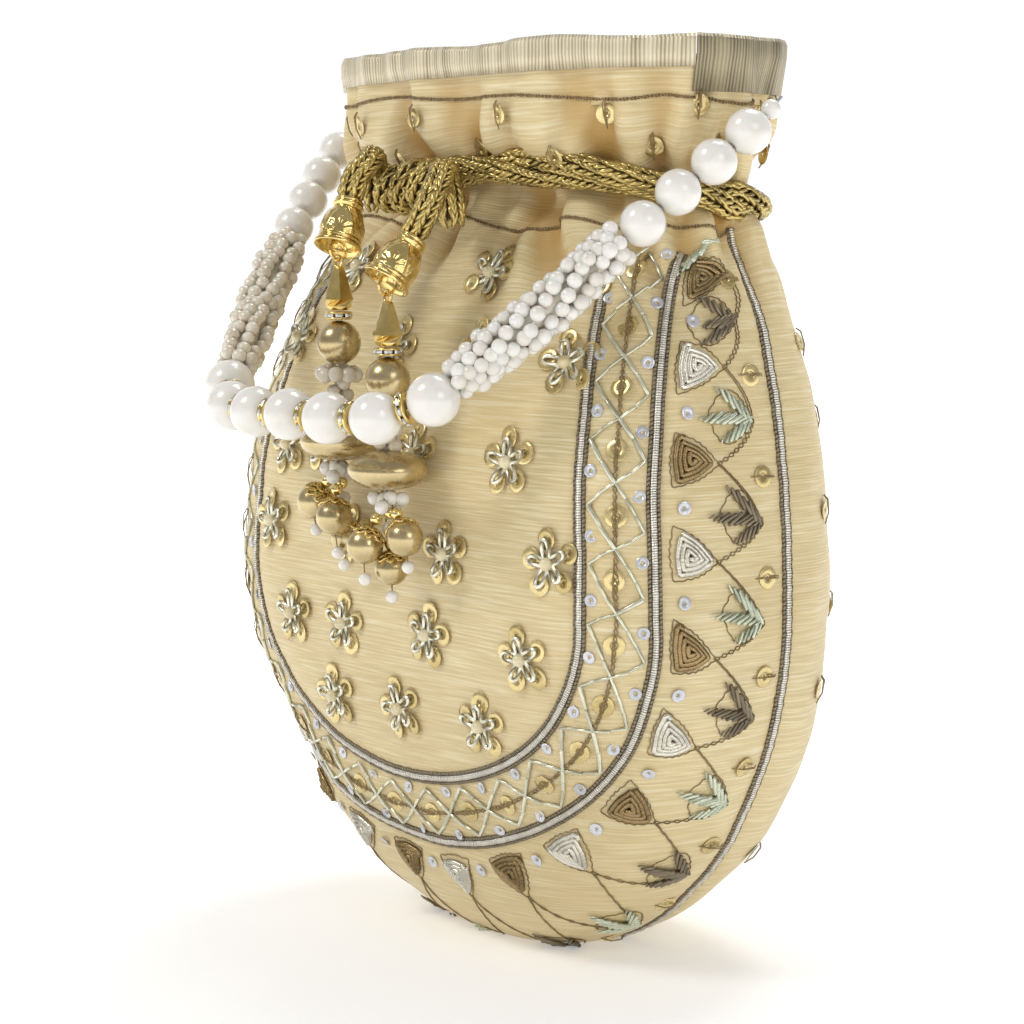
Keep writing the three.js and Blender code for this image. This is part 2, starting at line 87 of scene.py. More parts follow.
def smooth_table(table: Array, x: Array) -> Array:
    """Reads a table of stations with a smooth curve through them that never overshoots.

    Args:
        table: Rows of x followed by one or more values, x rising.
        x: Where to read it.

    Returns:
        The values, with one more axis than x.
    """
    xs, ys = table[:, 0], table[:, 1:]
    step = np.diff(xs)[:, None]
    slope = np.diff(ys, axis=0) / step
    inner = np.where(slope[:-1] * slope[1:] > 0, 2 * slope[:-1] * slope[1:]
            / (slope[:-1] + slope[1:] + 1e-30), 0)
    tangent = np.vstack([slope[:1], inner, slope[-1:]])
    x = np.clip(np.asarray(x, float), xs[0], xs[-1])
    i = np.clip(np.searchsorted(xs, x, side="right") - 1, 0, len(xs) - 2)
    h = step[i]
    t = ((x - xs[i]) / step[i, 0])[..., None]
    a, b = ys[i], ys[i + 1]
    return ((2 * t**3 - 3 * t**2 + 1) * a + (t**3 - 2 * t**2 + t) * h * tangent[i] + (-2 * t**3 + 3 * t**2)
            * b + (t**3 - t**2) * h * tangent[i + 1])


def ramp(x: Array, low: float, high: float) -> Array:
    """0 below low, 1 above high and a smooth step between; high may be the smaller one."""
    t = np.clip((x - low) / (high - low), 0, 1)
    return t * t * (3 - 2 * t)


def bell(x: Array, width: float) -> Array:
    """A soft hump, 1 in the middle and near 0 beyond two widths."""
    return np.exp(-((x / width) ** 2))


def along_line(line: Array, count: int | None = None, step: float | None = None,
        closed: bool = False) -> Array:
    """Points spread evenly along a line.

    Args:
        line: The points of the line.
        count: How many points to return, or None to use step.
        step: Rough distance between points.
        closed: The line ends where it starts; the last point isn't repeated.
    """
    line = np.vstack([line, line[:1]]) if closed else np.asarray(line)
    run = distances(line)
    total = count or max(2, round(run[-1] / step) + (0 if closed else 1))
    at = np.linspace(0, run[-1], total, endpoint=not closed)
    return np.stack([np.interp(at, run, line[:, k]) for k in range(line.shape[1])], axis=1)


def spline(points: Array, count: int) -> Array:
    """A smooth line through a few points, as count points evenly spread."""
    p = np.asarray(points, float)
    ghost = np.vstack([2 * p[0] - p[1], p, 2 * p[-1] - p[-2]])
    out = []
    for i in range(len(p) - 1):
        a, b, c, d = ghost[i:i + 4]
        t = np.linspace(0, 1, 24, endpoint=False)[:, None]
        out.append(0.5 * (2 * b + (c - a) * t + (2 * a - 5 * b + 4 * c - d) * t**2 + (3 * b - a - 3 * c + d)
                * t**3))
    return along_line(np.vstack([*out, p[-1:]]), count=count)


def directions(line: Array, closed: bool = False) -> Array:
    """The way a line runs at each of its points."""
    if closed:
        return unit(np.roll(line, -1, axis=0) - np.roll(line, 1, axis=0))
    return unit(np.gradient(line, axis=0))


def carried(way: Array) -> Array:
    """A side direction for each point of a line, that turns as little as it can on the way."""
    last = UP if abs(way[0, 2]) < 0.8 else EAST
    up = np.zeros_like(way)
    for i, w in enumerate(way):
        last = unit(last - w * (last @ w))
        up[i] = last
    return up


def waves(p: Array, seed: int, scale: float, octaves: int = 5) -> Array:
    """A soft random field from -1 to 1, made of a few plane waves.

    Args:
        p: Points, or one coordinate as the last axis.
        seed: Which field.
        scale: Length of the longest wave.
        octaves: How many sizes of wave.
    """
    rng = np.random.default_rng(seed)
    total = np.zeros(p.shape[:-1])
    for k in range(octaves * 3):
        way = unit(rng.normal(size=p.shape[-1]))
        size = 1.35 ** -(k // 3)
        total += size**1.2 * np.sin(TURN * (p @ way) / (scale * size) + rng.uniform(0, TURN))
    return total / 3.4


# ---- Meshes
@dataclass
class Pieces:
    """Gathers swept and latticed surfaces into one mesh with a UV map."""
    points: list = field(default_factory=list)
    quads: list = field(default_factory=list)
    maps: list = field(default_factory=list)
    total: int = 0

    def add(self, points: Array, quads: Array, uv: Array) -> None:
        """Adds points, faces of four corners, and a UV pair for each corner."""
        self.points.append(points.reshape(-1, 3))
        self.quads.append(quads.reshape(-1, 4) + self.total)
        self.maps.append(uv.reshape(-1, 2))
        self.total += len(self.points[-1])

    def grid(self, p: Array, uv: Array, wrap_rows: bool = False, wrap_columns: bool = False) -> None:
        """Adds a grid of points, rows by columns. uv has one more row or column where the grid wraps."""
        rows, columns = p.shape[:2]
        row_steps = np.arange(rows if wrap_rows else rows - 1)
        column_steps = np.arange(columns if wrap_columns else columns - 1)
        r, c = (x.ravel() for x in np.meshgrid(row_steps, column_steps, indexing="ij"))
        r2, c2 = (r + 1) % rows, (c + 1) % columns
        quads = np.stack([r * columns + c, r * columns + c2, r2 * columns + c2, r2 * columns + c], 1)
        corner = np.stack([uv[r, c], uv[r, c + 1], uv[r + 1, c + 1], uv[r + 1, c]], 1)
        self.add(p, quads, corner)

    def sweep(self, line: Array, radius: Array | float, sides: int = 8, closed: bool = False,
            up: Array | None = None, flat: float = 1.0, caps: bool = True) -> None:
        """Adds a tube along a line; its U is the distance run and its V goes once round.

        Args:
            line: The centre line.
            radius: One radius, or one for each point.
            sides: Faces round it.
            closed: The line joins its own start.
            up: The way out of the surface at each point; without it the frame turns as little as it can.
            flat: Height across the up direction, as a share of the width.
            caps: Draws the ends in to a point.
        """
        radius = np.broadcast_to(np.asarray(radius, float), (len(line),)).copy()
        if caps and not closed:
            way = directions(line)
            line = np.vstack([line[:1] - way[:1] * radius[0] * 0.25, line,
                    line[-1:] + way[-1:] * radius[-1] * 0.25])
            radius = np.r_[1e-6, radius, 1e-6]
            up = None if up is None else np.vstack([up[:1], up, up[-1:]])
        way = directions(line, closed)
        up = carried(way) if up is None else up
        side = unit(np.cross(way, up))
        up = np.cross(side, way)
        a = around(sides)[None, :, None]
        ring = (side[:, None] * np.cos(a) + flat * up[:, None] * np.sin(a)) * radius[:, None, None]
        run = distances(line)
        if closed:
            run = np.r_[run, run[-1] + np.linalg.norm(line[0] - line[-1])]
        v = np.linspace(0, 1, sides + 1)
        uv = np.stack(np.meshgrid(run, v, indexing="ij"), -1)
        self.grid(line[:, None] + ring, uv, wrap_rows=closed, wrap_columns=True)

    def lathe(self, profile: Array, segments: int, place: Matrix | None = None,
            swell: Callable[[Array, Array, Array], Array] | None = None) -> None:
        """Adds a turned shape.

        Args:
            profile: Rows of radius and height.
            segments: Faces round it.
            place: Where it stands.
            swell: Gives what is added to the radius, from angle, height and radius.
        """
        a = around(segments)
        r = np.repeat(profile[:, :1], segments, 1)
        z = np.repeat(profile[:, 1:2], segments, 1)
        if swell is not None:
            r = r + swell(a[None, :], z, r)
        p = np.stack([r * np.cos(a), r * np.sin(a), z], -1)[:, ::-1]
        uv = np.stack(np.meshgrid(distances(profile), np.linspace(0, 1, segments + 1), indexing="ij"), -1)
        if place is not None:
            p = apply_place(place, p)
        self.grid(p, uv, wrap_columns=True)

    def build(self, name: str, material: Material, smooth: bool = True) -> Thing:
        """Makes the gathered surfaces one object at the origin."""
        points, quads, uv = np.vstack(self.points), np.vstack(self.quads), np.vstack(self.maps)
        mesh = bpy.data.meshes.new(name)
        mesh.vertices.add(len(points))
        mesh.vertices.foreach_set("co", points.astype(np.float32).ravel())
        mesh.loops.add(quads.size)
        mesh.loops.foreach_set("vertex_index", quads.astype(np.int32).ravel())
        mesh.polygons.add(len(quads))
        mesh.polygons.foreach_set("loop_start", np.arange(0, quads.size, 4, dtype=np.int32))
        mesh.polygons.foreach_set("loop_total", np.full(len(quads), 4, np.int32))
        mesh.polygons.foreach_set("use_smooth", np.full(len(quads), smooth))
        layer = mesh.uv_layers.new(name="UVMap")
        layer.data.foreach_set("uv", uv.astype(np.float32).ravel())
        mesh.update(calc_edges=True)
        mesh.validate(clean_customdata=False)
        mesh.materials.append(material)
        return linked(name, mesh)


def linked(name: str, data: bpy.types.Mesh) -> Thing:
    """A new object in the scene that holds the mesh."""
    thing = bpy.data.objects.new(name, data)
    bpy.context.scene.collection.objects.link(thing)
    return thing


def apply_place(place: Matrix, p: Array) -> Array:
    """Points moved by a matrix."""
    m = np.array(place)
    return p @ m[:3, :3].T + m[:3, 3]


def oriented(origin: Array, z: Array, x: Array) -> Matrix:
    """The matrix that puts a shape at origin with its Z along z and its X near x."""
    z = unit(np.asarray(z, float))
    y = unit(np.cross(z, x))
    x = np.cross(y, z)
    m = np.eye(4)
    m[:3, 0], m[:3, 1], m[:3, 2], m[:3, 3] = x, y, z, origin
    return Matrix(m.tolist())


def hand_over(thing: Thing, body: str, node: str | None = None) -> None:
    """Says which body a piece rides on and hides the CAD node it stands for."""
    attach(thing, body)
    if node:
        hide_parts(node)


# ---- Geometry Nodes trees
def feed(tree: bpy.types.NodeTree, socket: Socket, value: object) -> None:
    """Links a socket to an input, or gives the input a plain value."""
    if isinstance(value, Socket):
        tree.links.new(value, socket)
    else:
        socket.default_value = value


def add_node(tree: bpy.types.NodeTree, kind: str, settings: dict | None, inputs: dict) -> bpy.types.Node:
    """Adds a node to any tree.

    Args:
        tree: Where it goes.
        kind: Its type.
        settings: The node's own properties.
        inputs: Its inputs by name, or as i0, i1 by number: sockets to link from, or plain values.
    """
    made = tree.nodes.new(kind)
    for key, value in (settings or {}).items():
        setattr(made, key, value)
    for key, value in inputs.items():
        by_number = key[0] == "i" and key[1:].isdigit()
        feed(tree, made.inputs[int(key[1:]) if by_number else key.replace("_", " ")], value)
    return made


class Tree:
    """A Geometry Nodes tree built in code, and the way to bake it."""

    def __init__(self, name: str, sockets: dict[str, str]) -> None:
        """Makes an empty tree with the given inputs and a Geometry input and output."""
        self.tree = bpy.data.node_groups.new(name, "GeometryNodeTree")
        face = self.tree.interface
        face.new_socket("Geometry", in_out="INPUT", socket_type="NodeSocketGeometry")
        for label, kind in sockets.items():
            face.new_socket(label, in_out="INPUT", socket_type=kind)
        face.new_socket("Geometry", in_out="OUTPUT", socket_type="NodeSocketGeometry")
        self.start = self.tree.nodes.new("NodeGroupInput")
        self.end = self.tree.nodes.new("NodeGroupOutput")

    def node(self, kind: str, settings: dict | None = None, **inputs: object) -> bpy.types.Node:
        """Adds a node; inputs by name are sockets to link from, or plain values."""
        return add_node(self.tree, kind, settings, inputs)

    def named(self, name: str, kind: str = "FLOAT_VECTOR") -> Socket:
        """An attribute of the points, read by name."""
        return self.node("GeometryNodeInputNamedAttribute", {"data_type": kind},
                Name=name).outputs["Attribute"]

    def close(self, geometry: Socket) -> None:
        """Ends the tree in Realize Instances and Set Material."""
        real = self.node("GeometryNodeRealizeInstances", Geometry=geometry)
        dressed = self.node("GeometryNodeSetMaterial", Geometry=real.outputs[0],
                Material=self.start.outputs["Finish"])
        self.tree.links.new(dressed.outputs[0], self.end.inputs[0])

    def bake(self, name: str, source: Thing, **values: object) -> Thing:
        """Runs the tree on an object and returns the result as a plain mesh object in its place."""
        modifier = source.modifiers.new(self.tree.name, "NODES")
        modifier.node_group = self.tree
        for item in self.tree.interface.items_tree:
            if item.item_type == "SOCKET" and item.in_out == "INPUT" and item.name in values:
                modifier[item.identifier] = values[item.name]
        graph = bpy.context.evaluated_depsgraph_get()
        mesh = bpy.data.meshes.new_from_object(source.evaluated_get(graph), preserve_all_data_layers=True,
                depsgraph=graph)
        source.modifiers.remove(modifier)
        bpy.data.objects.remove(source)
        return linked(name, mesh)


class PlacingTree(Tree):
    """Puts a copy of a small piece on each point, its Z along the point's "out" and its X along "along"."""

    def __init__(self) -> None:
        """Builds the tree."""
        super().__init__("place_pieces", {"Piece": "NodeSocketObject", "Size": "NodeSocketFloat",
                "Wobble": "NodeSocketFloat", "Seed": "NodeSocketInt", "Finish": "NodeSocketMaterial"})
        piece = self.node("GeometryNodeObjectInfo", {"transform_space": "ORIGINAL"},
                Object=self.start.outputs["Piece"])
        turn = self.node("FunctionNodeAxesToRotation", {"primary_axis": "Z", "secondary_axis": "X"},
                i0=self.named("out"), i1=self.named("along"))
        wobble = self.start.outputs["Wobble"]
        back = self.node("ShaderNodeMath", {"operation": "MULTIPLY"}, i0=wobble, i1=-1.0).outputs[0]
        low = self.node("ShaderNodeCombineXYZ", i0=back, i1=back, i2=back)
        high = self.node("ShaderNodeCombineXYZ", i0=wobble, i1=wobble, i2=wobble)
        random = self.node("FunctionNodeRandomValue", {"data_type": "FLOAT_VECTOR"}, i0=low.outputs[0],
                i1=high.outputs[0], Seed=self.start.outputs["Seed"])
        lean = self.node("FunctionNodeEulerToRotation", i0=random.outputs[0])
        whole = self.node("FunctionNodeRotateRotation", {"rotation_space": "LOCAL"}, i0=turn.outputs[0],
                i1=lean.outputs[0])
        size = self.node("ShaderNodeMath", {"operation": "MULTIPLY"}, i0=self.named("size", "FLOAT"),
                i1=self.start.outputs["Size"])
        copies = self.node("GeometryNodeInstanceOnPoints", Points=self.start.outputs[0],
                Instance=piece.outputs["Geometry"], Rotation=whole.outputs[0], Scale=size.outputs[0])
        self.close(copies.outputs[0])


class ThreadTree(Tree):
    """Turns wires into thin round threads."""

    def __init__(self) -> None:
        """Builds the tree."""
        super().__init__("spin_threads", {"Radius": "NodeSocketFloat", "Sides": "NodeSocketInt",
                "Finish": "NodeSocketMaterial"})
        wires = self.node("GeometryNodeMeshToCurve", Mesh=self.start.outputs[0])
        ring = self.node("GeometryNodeCurvePrimitiveCircle", Resolution=self.start.outputs["Sides"],
                Radius=self.start.outputs["Radius"])
        tubes = self.node("GeometryNodeCurveToMesh", Curve=wires.outputs[0],
                Profile_Curve=ring.outputs["Curve"], Fill_Caps=True)
        self.close(tubes.outputs[0])


@dataclass
class Points:
    """Places for copies of one small piece."""
    at: list = field(default_factory=list)
    out: list = field(default_factory=list)
    along: list = field(default_factory=list)
    size: list = field(default_factory=list)

    def add(self, at: Array, out: Array, along: Array, size: float = 1.0) -> None:
        """Adds one place, or as many as at has rows."""
        at = np.atleast_2d(at)
        self.at.append(at)
        self.out.append(np.broadcast_to(out, at.shape))
        self.along.append(np.broadcast_to(along, at.shape))
        self.size.append(np.broadcast_to(np.asarray(size, float), (len(at),)))

    def join(self, other: "Points") -> None:
        """Takes in the places of another set."""
        for mine, theirs in zip((self.at, self.out, self.along, self.size),
                (other.at, other.out, other.along, other.size)):
            mine.extend(theirs)

    def source(self) -> Thing:
        """A mesh of loose points that carries the attributes which PlacingTree reads."""
        at = np.vstack(self.at)
        mesh = bpy.data.meshes.new("places")
        mesh.vertices.add(len(at))
        mesh.vertices.foreach_set("co", at.astype(np.float32).ravel())
        rng = np.random.default_rng(len(at))
        marks = {"out": np.vstack(self.out), "along": np.vstack(self.along),
                "size": np.concatenate(self.size), "tone": rng.uniform(0, 1, len(at))}
        for name, values in marks.items():
            kind, key = ("FLOAT_VECTOR", "vector") if values.ndim == 2 else ("FLOAT", "value")
            made = mesh.attributes.new(name, kind, "POINT")
            made.data.foreach_set(key, values.astype(np.float32).ravel())
        return linked("places", mesh)


class Workshop:
    """The two trees, kept for the whole scene, with short ways to use them."""

    def __init__(self) -> None:
        """Builds both trees."""
        self.placing = PlacingTree()
        self.threads = ThreadTree()

    def place(self, name: str, points: Points, piece: Thing, finish: "Finish", wobble: float = 0.0,
            seed: int = 1) -> Thing:
        """Copies a piece onto points and bakes the copies into one mesh; the piece stays for later use."""
        done = self.placing.bake(name, points.source(), Piece=piece, Size=1.0, Wobble=wobble, Seed=seed,
                Finish=finish.material())
        for label in ("out", "along", "size"):
            if label in done.data.attributes:
                done.data.attributes.remove(done.data.attributes[label])
        return done

    def spin(self, name: str, lines: list[Array], radius: float, finish: "Finish", sides: int = 5) -> Thing:
        """Makes threads along several lines, as one mesh."""
        mesh = bpy.data.meshes.new("wires")
        points = np.vstack(lines)
        starts = np.cumsum([0] + [len(line) for line in lines])
        edges = [(i, i + 1) for a, b in zip(starts[:-1], starts[1:]) for i in range(a, b - 1)]
        mesh.from_pydata(points.tolist(), edges, [])
        done = self.threads.bake(name, linked("wires", mesh), Radius=radius, Sides=sides,
                Finish=finish.material())
        done.data.shade_smooth()
        return done


# ---- Finishes
def shade(color: tuple, factor: float) -> tuple:
    """A colour made lighter or darker, no channel above 1."""
    return tuple(min(1.0, factor * c) for c in color)


class Shader:
    """A material whose nodes are added one call at a time."""

    def __init__(self, name: str, color: tuple, roughness: float, metallic: float = 0.0,
            **extra: object) -> None:
        """Starts a Principled material with uniform values on its own sockets."""
        self.material = bpy.data.materials.new(name)
        self.material.use_nodes = True
        self.links = self.material.node_tree.links
        self.surface = self.material.node_tree.nodes["Principled BSDF"]
        self.surface.inputs["Base Color"].default_value = (*color, 1)
        self.surface.inputs["Roughness"].default_value = roughness
        self.surface.inputs["Metallic"].default_value = metallic
        for key, value in extra.items():
            self.surface.inputs[key.replace("_", " ")].default_value = value
        self.material.diffuse_color = (*color, 1)

    def node(self, kind: str, settings: dict | None = None, **inputs: object) -> bpy.types.Node:
        """Adds a node; inputs by name or as i0, i1 are sockets to link from, or plain values."""
        return add_node(self.material.node_tree, kind, settings, inputs)

    def math(self, how: str, a: object, b: object = 0.0, c: object = 0.0) -> Socket:
        """One sum of two or three numbers or sockets."""
        return self.node("ShaderNodeMath", {"operation": how}, i0=a, i1=b, i2=c).outputs[0]

    def coordinates(self, scale: tuple, kind: str = "Object") -> Socket:
        """Object or UV coordinates, scaled along each axis."""
        place = self.node("ShaderNodeTexCoord").outputs[kind]
        return self.node("ShaderNodeMapping", Vector=place, Scale=scale).outputs[0]

    def uv(self) -> tuple[Socket, Socket]:
        """U and V of the piece's own map."""
        split = self.node("ShaderNodeSeparateXYZ", Vector=self.node("ShaderNodeTexCoord").outputs["UV"])
        return split.outputs[0], split.outputs[1]

    def noise(self, vector: Socket, scale: float, detail: float = 2.0, roughness: float = 0.5) -> Socket:
        """A noise value from 0 to 1."""
        made = self.node("ShaderNodeTexNoise", Vector=vector, Scale=scale, Detail=detail, Roughness=roughness)
        return made.outputs["Fac"]

    def stripes(self, u: object, pitch: float, v: object = 0.0, turns: float = 0.0) -> Socket:
        """A wave from -1 to 1 that repeats every pitch along u, slanted by whole turns over v."""
        phase = self.math("MULTIPLY", u, TURN / pitch)
        if turns:
            phase = self.math("MULTIPLY_ADD", v, TURN * turns, phase)
        return self.math("SINE", phase)

    def tint(self, factor: object, *stops: tuple) -> Socket:
        """A colour from stops of (place, (r, g, b))."""
        made = self.node("ShaderNodeValToRGB", Fac=factor)
        elements = made.color_ramp.elements
        while len(elements) < len(stops):
            elements.new(0.5)
        for element, (place, color) in zip(elements, stops):
            element.position, element.color = place, (*color, 1)
        return made.outputs["Color"]

    def spread(self, value: object, low: float, high: float, to_low: float, to_high: float) -> Socket:
        """A value moved from one range to another and held inside it."""
        return self.node("ShaderNodeMapRange", Value=value, From_Min=low, From_Max=high, To_Min=to_low,
                To_Max=to_high).outputs[0]

    def attribute(self, name: str) -> Socket:
        """A value that the mesh carries, by name."""
        return self.node("ShaderNodeAttribute", {"attribute_name": name}).outputs["Fac"]

    def mix(self, factor: object, a: object, b: object, how: str = "MIX") -> Socket:
        """Two colours mixed."""
        made = self.node("ShaderNodeMix", {"data_type": "RGBA", "blend_type": how})
        for socket, value in ((made.inputs[0], factor), (made.inputs[6], a), (made.inputs[7], b)):
            plain = isinstance(value, (float, Socket))
            feed(self.material.node_tree, socket, value if plain else (*value, 1))
        return made.outputs[2]

    def color(self, socket: Socket) -> None:
        """Sends a colour to the surface."""
        self.links.new(socket, self.surface.inputs["Base Color"])

    def rough(self, socket: Socket, low: float, high: float) -> None:
        """Sends a 0 to 1 value to the roughness, spread over a range."""
        made = self.node("ShaderNodeMapRange", Value=socket, To_Min=low, To_Max=high)
        self.links.new(made.outputs[0], self.surface.inputs["Roughness"])

    def bump(self, *layers: tuple) -> None:
        """Stacks bumps, each (height socket, distance in metres, strength)."""
        last = None
        for height, distance, strength in layers:
            made = self.node("ShaderNodeBump", Height=height, Distance=distance, Strength=strength)
            if last:
                self.links.new(last, made.inputs["Normal"])
            last = made.outputs[0]
        self.links.new(last, self.surface.inputs["Normal"])


@dataclass(frozen=True)
class SilkFinish:
    """Slubbed dupion silk: fine level ribs, thicker threads here and there, and painted shade of darker
    orange gold in the folds.
    """
    light: tuple = (0.76, 0.615, 0.335)
    # deep is the colour of painted shade in the fold valleys, along the drawcord and beside the pipings.
    deep: tuple = (0.52, 0.30, 0.075)
    pale: tuple = (0.84, 0.73, 0.47)
    streak: tuple = (0.88, 0.79, 0.56)
    patch: tuple = (0.62, 0.45, 0.19)
    rib: float = 0.00078
    warp: float = 0.00066

    def make(self, name: str) -> Material:
        """The material; it reads the UV map in metres and the mesh attribute that marks painted shade in the
        folds.
        """
        s = Shader(name, self.light, 0.46, Specular_IOR_Level=0.42, Sheen_Weight=0.18, Sheen_Roughness=0.35)
        s.surface.inputs["Sheen Tint"].default_value = (1.0, 0.9, 0.68, 1)
        u, v = s.uv()
        slub = s.noise(s.coordinates((60, 1500, 1), "UV"), 1.0, 2.0)
        long_slub = s.noise(s.coordinates((20, 620, 1), "UV"), 1.0, 1.0)
        cloud = s.noise(s.coordinates((26, 26, 26)), 1.0, 3.0)
        ribs = s.stripes(v, self.rib)
        warps = s.stripes(u, self.warp)
        base = s.tint(slub, (0.36, shade(self.light, 0.90)), (0.52, self.light), (0.66, self.pale))
        base = s.mix(s.spread(long_slub, 0.60, 0.74, 0.0, 0.6), base, self.streak)
        # Painted shade: darker orange gold mixed in where the mesh marks folds, the drawcord line and the
        # pipings.
        base = s.mix(s.attribute("fold"), base, self.deep)
        base = s.mix(s.spread(cloud, 0.45, 0.75, 0.0, 0.35), base, self.patch)
        weave = s.math("MULTIPLY_ADD", s.math("MULTIPLY", ribs, warps), 0.075, 0.93)
        s.color(s.mix(1.0, base, s.node("ShaderNodeCombineXYZ", i0=weave, i1=weave, i2=weave).outputs[0],
                "MULTIPLY"))
        s.rough(slub, 0.36, 0.58)
        cloth = s.math("MULTIPLY_ADD", warps, 0.45, ribs)
        s.bump((s.noise(s.coordinates((90, 90, 90)), 1.0, 3.0), 0.0012, 0.22), (slub, 0.00010, 0.4),
                (cloth, 0.00004, 0.5))
        return s.material


@dataclass(frozen=True)
class RibbonFinish:
    """Metallic ribbon with ribs across its width."""
    light: tuple
    dark: tuple
    metallic: float = 0.35
    pitch: float = 0.00105

    def make(self, name: str) -> Material:
        """The material; U runs along the ribbon in metres."""
        s = Shader(name, self.light, 0.38, self.metallic, Sheen_Weight=0.1)
        u, v = s.uv()
        pleat = s.noise(s.coordinates((260, 6, 1), "UV"), 1.0, 2.0)
        ribs = s.stripes(u, self.pitch)
        s.color(s.tint(s.math("MULTIPLY_ADD", ribs, 0.16, pleat), (0.28, self.dark), (0.52, self.light),
                (0.8, shade(self.light, 1.22))))
        s.rough(pleat, 0.30, 0.52)
        s.bump((pleat, 0.0006, 0.6), (ribs, 0.00008, 0.6), (s.stripes(v, 0.0005), 0.00003, 0.4))
        return s.material


@dataclass(frozen=True)
class TwistFinish:
    """A twisted or coiled thread: slanted ridges, with painted shade in the grooves and a painted highlight
    on the crests.
    """
    light: tuple
    # dark is painted shade in the grooves.
    dark: tuple
    pitch: float
    turns: float = 1.0
    metallic: float = 0.5
    roughness: float = 0.35
    depth: float = 0.00014

    def make(self, name: str) -> Material:
        """The material; U runs along the thread in metres and V once round it."""
        s = Shader(name, self.light, self.roughness, self.metallic)
        u, v = s.uv()
        ridge = s.math("MULTIPLY_ADD", s.stripes(u, self.pitch, v, self.turns), 0.5, 0.5)
        patch = s.noise(s.coordinates((240, 240, 240)), 1.0, 2.0)
        mixed = s.math("MULTIPLY_ADD", patch, 0.5, s.math("MULTIPLY", ridge, 0.7))
        # Painted shade in the grooves and a painted highlight on the crests, broken up by random patches.
        s.color(s.tint(mixed, (0.22, self.dark), (0.52, self.light), (0.95, shade(self.light, 1.3))))
        s.rough(patch, self.roughness * 0.75, self.roughness * 1.35)
        s.bump((ridge, self.depth, 0.8))
        return s.material


@dataclass(frozen=True)
class MetalFinish:
    """Metal of one colour with soft wear: darker in patches and slightly scratched."""
    light: tuple
    dark: tuple
    roughness: float = 0.25
    metallic: float = 1.0
    grain: float = 900.0
    brushed: bool = False
    bump: float = 0.00002

    def make(self, name: str) -> Material:
        """The material, on object coordinates, with the copies' own "tone" where they have one."""
        s = Shader(name, self.light, self.roughness, self.metallic)
        patch = s.noise(s.coordinates((130, 130, 130)), 1.0, 3.0)
        fine = s.noise(s.coordinates((self.grain, self.grain, self.grain * (8 if self.brushed else 1))), 1.0,
                2.0)
        mixed = s.math("MULTIPLY_ADD", s.attribute("tone"), 0.35,
                s.math("MULTIPLY_ADD", fine, 0.25, s.math("MULTIPLY", patch, 0.6)))
        s.color(s.tint(mixed, (0.25, self.dark), (0.60, self.light), (1.0, shade(self.light, 1.25))))
        s.rough(fine, self.roughness * 0.7, self.roughness * 1.5)
        s.bump((fine, self.bump, 0.5))
        return s.material


@dataclass(frozen=True)
class PearlFinish:
    """Glass pearl: a milky coated ball with a warm or cool cast."""
    light: tuple = (0.80, 0.78, 0.73)
    dark: tuple = (0.66, 0.61, 0.52)

    def make(self, name: str) -> Material:
        """The material, on object coordinates."""
        s = Shader(name, self.light, 0.22, 0.0, Specular_IOR_Level=0.6, Coat_Weight=0.55, Coat_Roughness=0.07,
                Subsurface_Weight=0.12, Subsurface_Scale=0.002)
        patch = s.noise(s.coordinates((170, 170, 170)), 1.0, 2.0)
        mixed = s.math("MULTIPLY_ADD", s.attribute("tone"), 0.25, s.math("MULTIPLY", patch, 0.9))
        s.color(s.tint(mixed, (0.15, shade(self.light, 1.06)), (0.5, self.light), (0.95, self.dark)))
        s.rough(patch, 0.16, 0.3)
        s.bump((s.noise(s.coordinates((420, 420, 420)), 1.0, 2.0), 0.00004, 0.3))
        return s.material


@dataclass(frozen=True)
class ClothFinish:
    """Plain woven lining."""
    light: tuple = (0.62, 0.50, 0.31)

    def make(self, name: str) -> Material:
        """The material; it reads the UV map in metres."""
        s = Shader(name, self.light, 0.7, Sheen_Weight=0.2)
        u, v = s.uv()
        cloud = s.noise(s.coordinates((30, 30, 30)), 1.0, 3.0)
        s.color(s.tint(cloud, (0.3, shade(self.light, 0.85)), (0.7, shade(self.light, 1.1))))
        s.rough(cloud, 0.6, 0.8)
        s.bump((s.math("MULTIPLY", s.stripes(u, 0.0006), s.stripes(v, 0.0006)), 0.00008, 0.6))
        return s.material


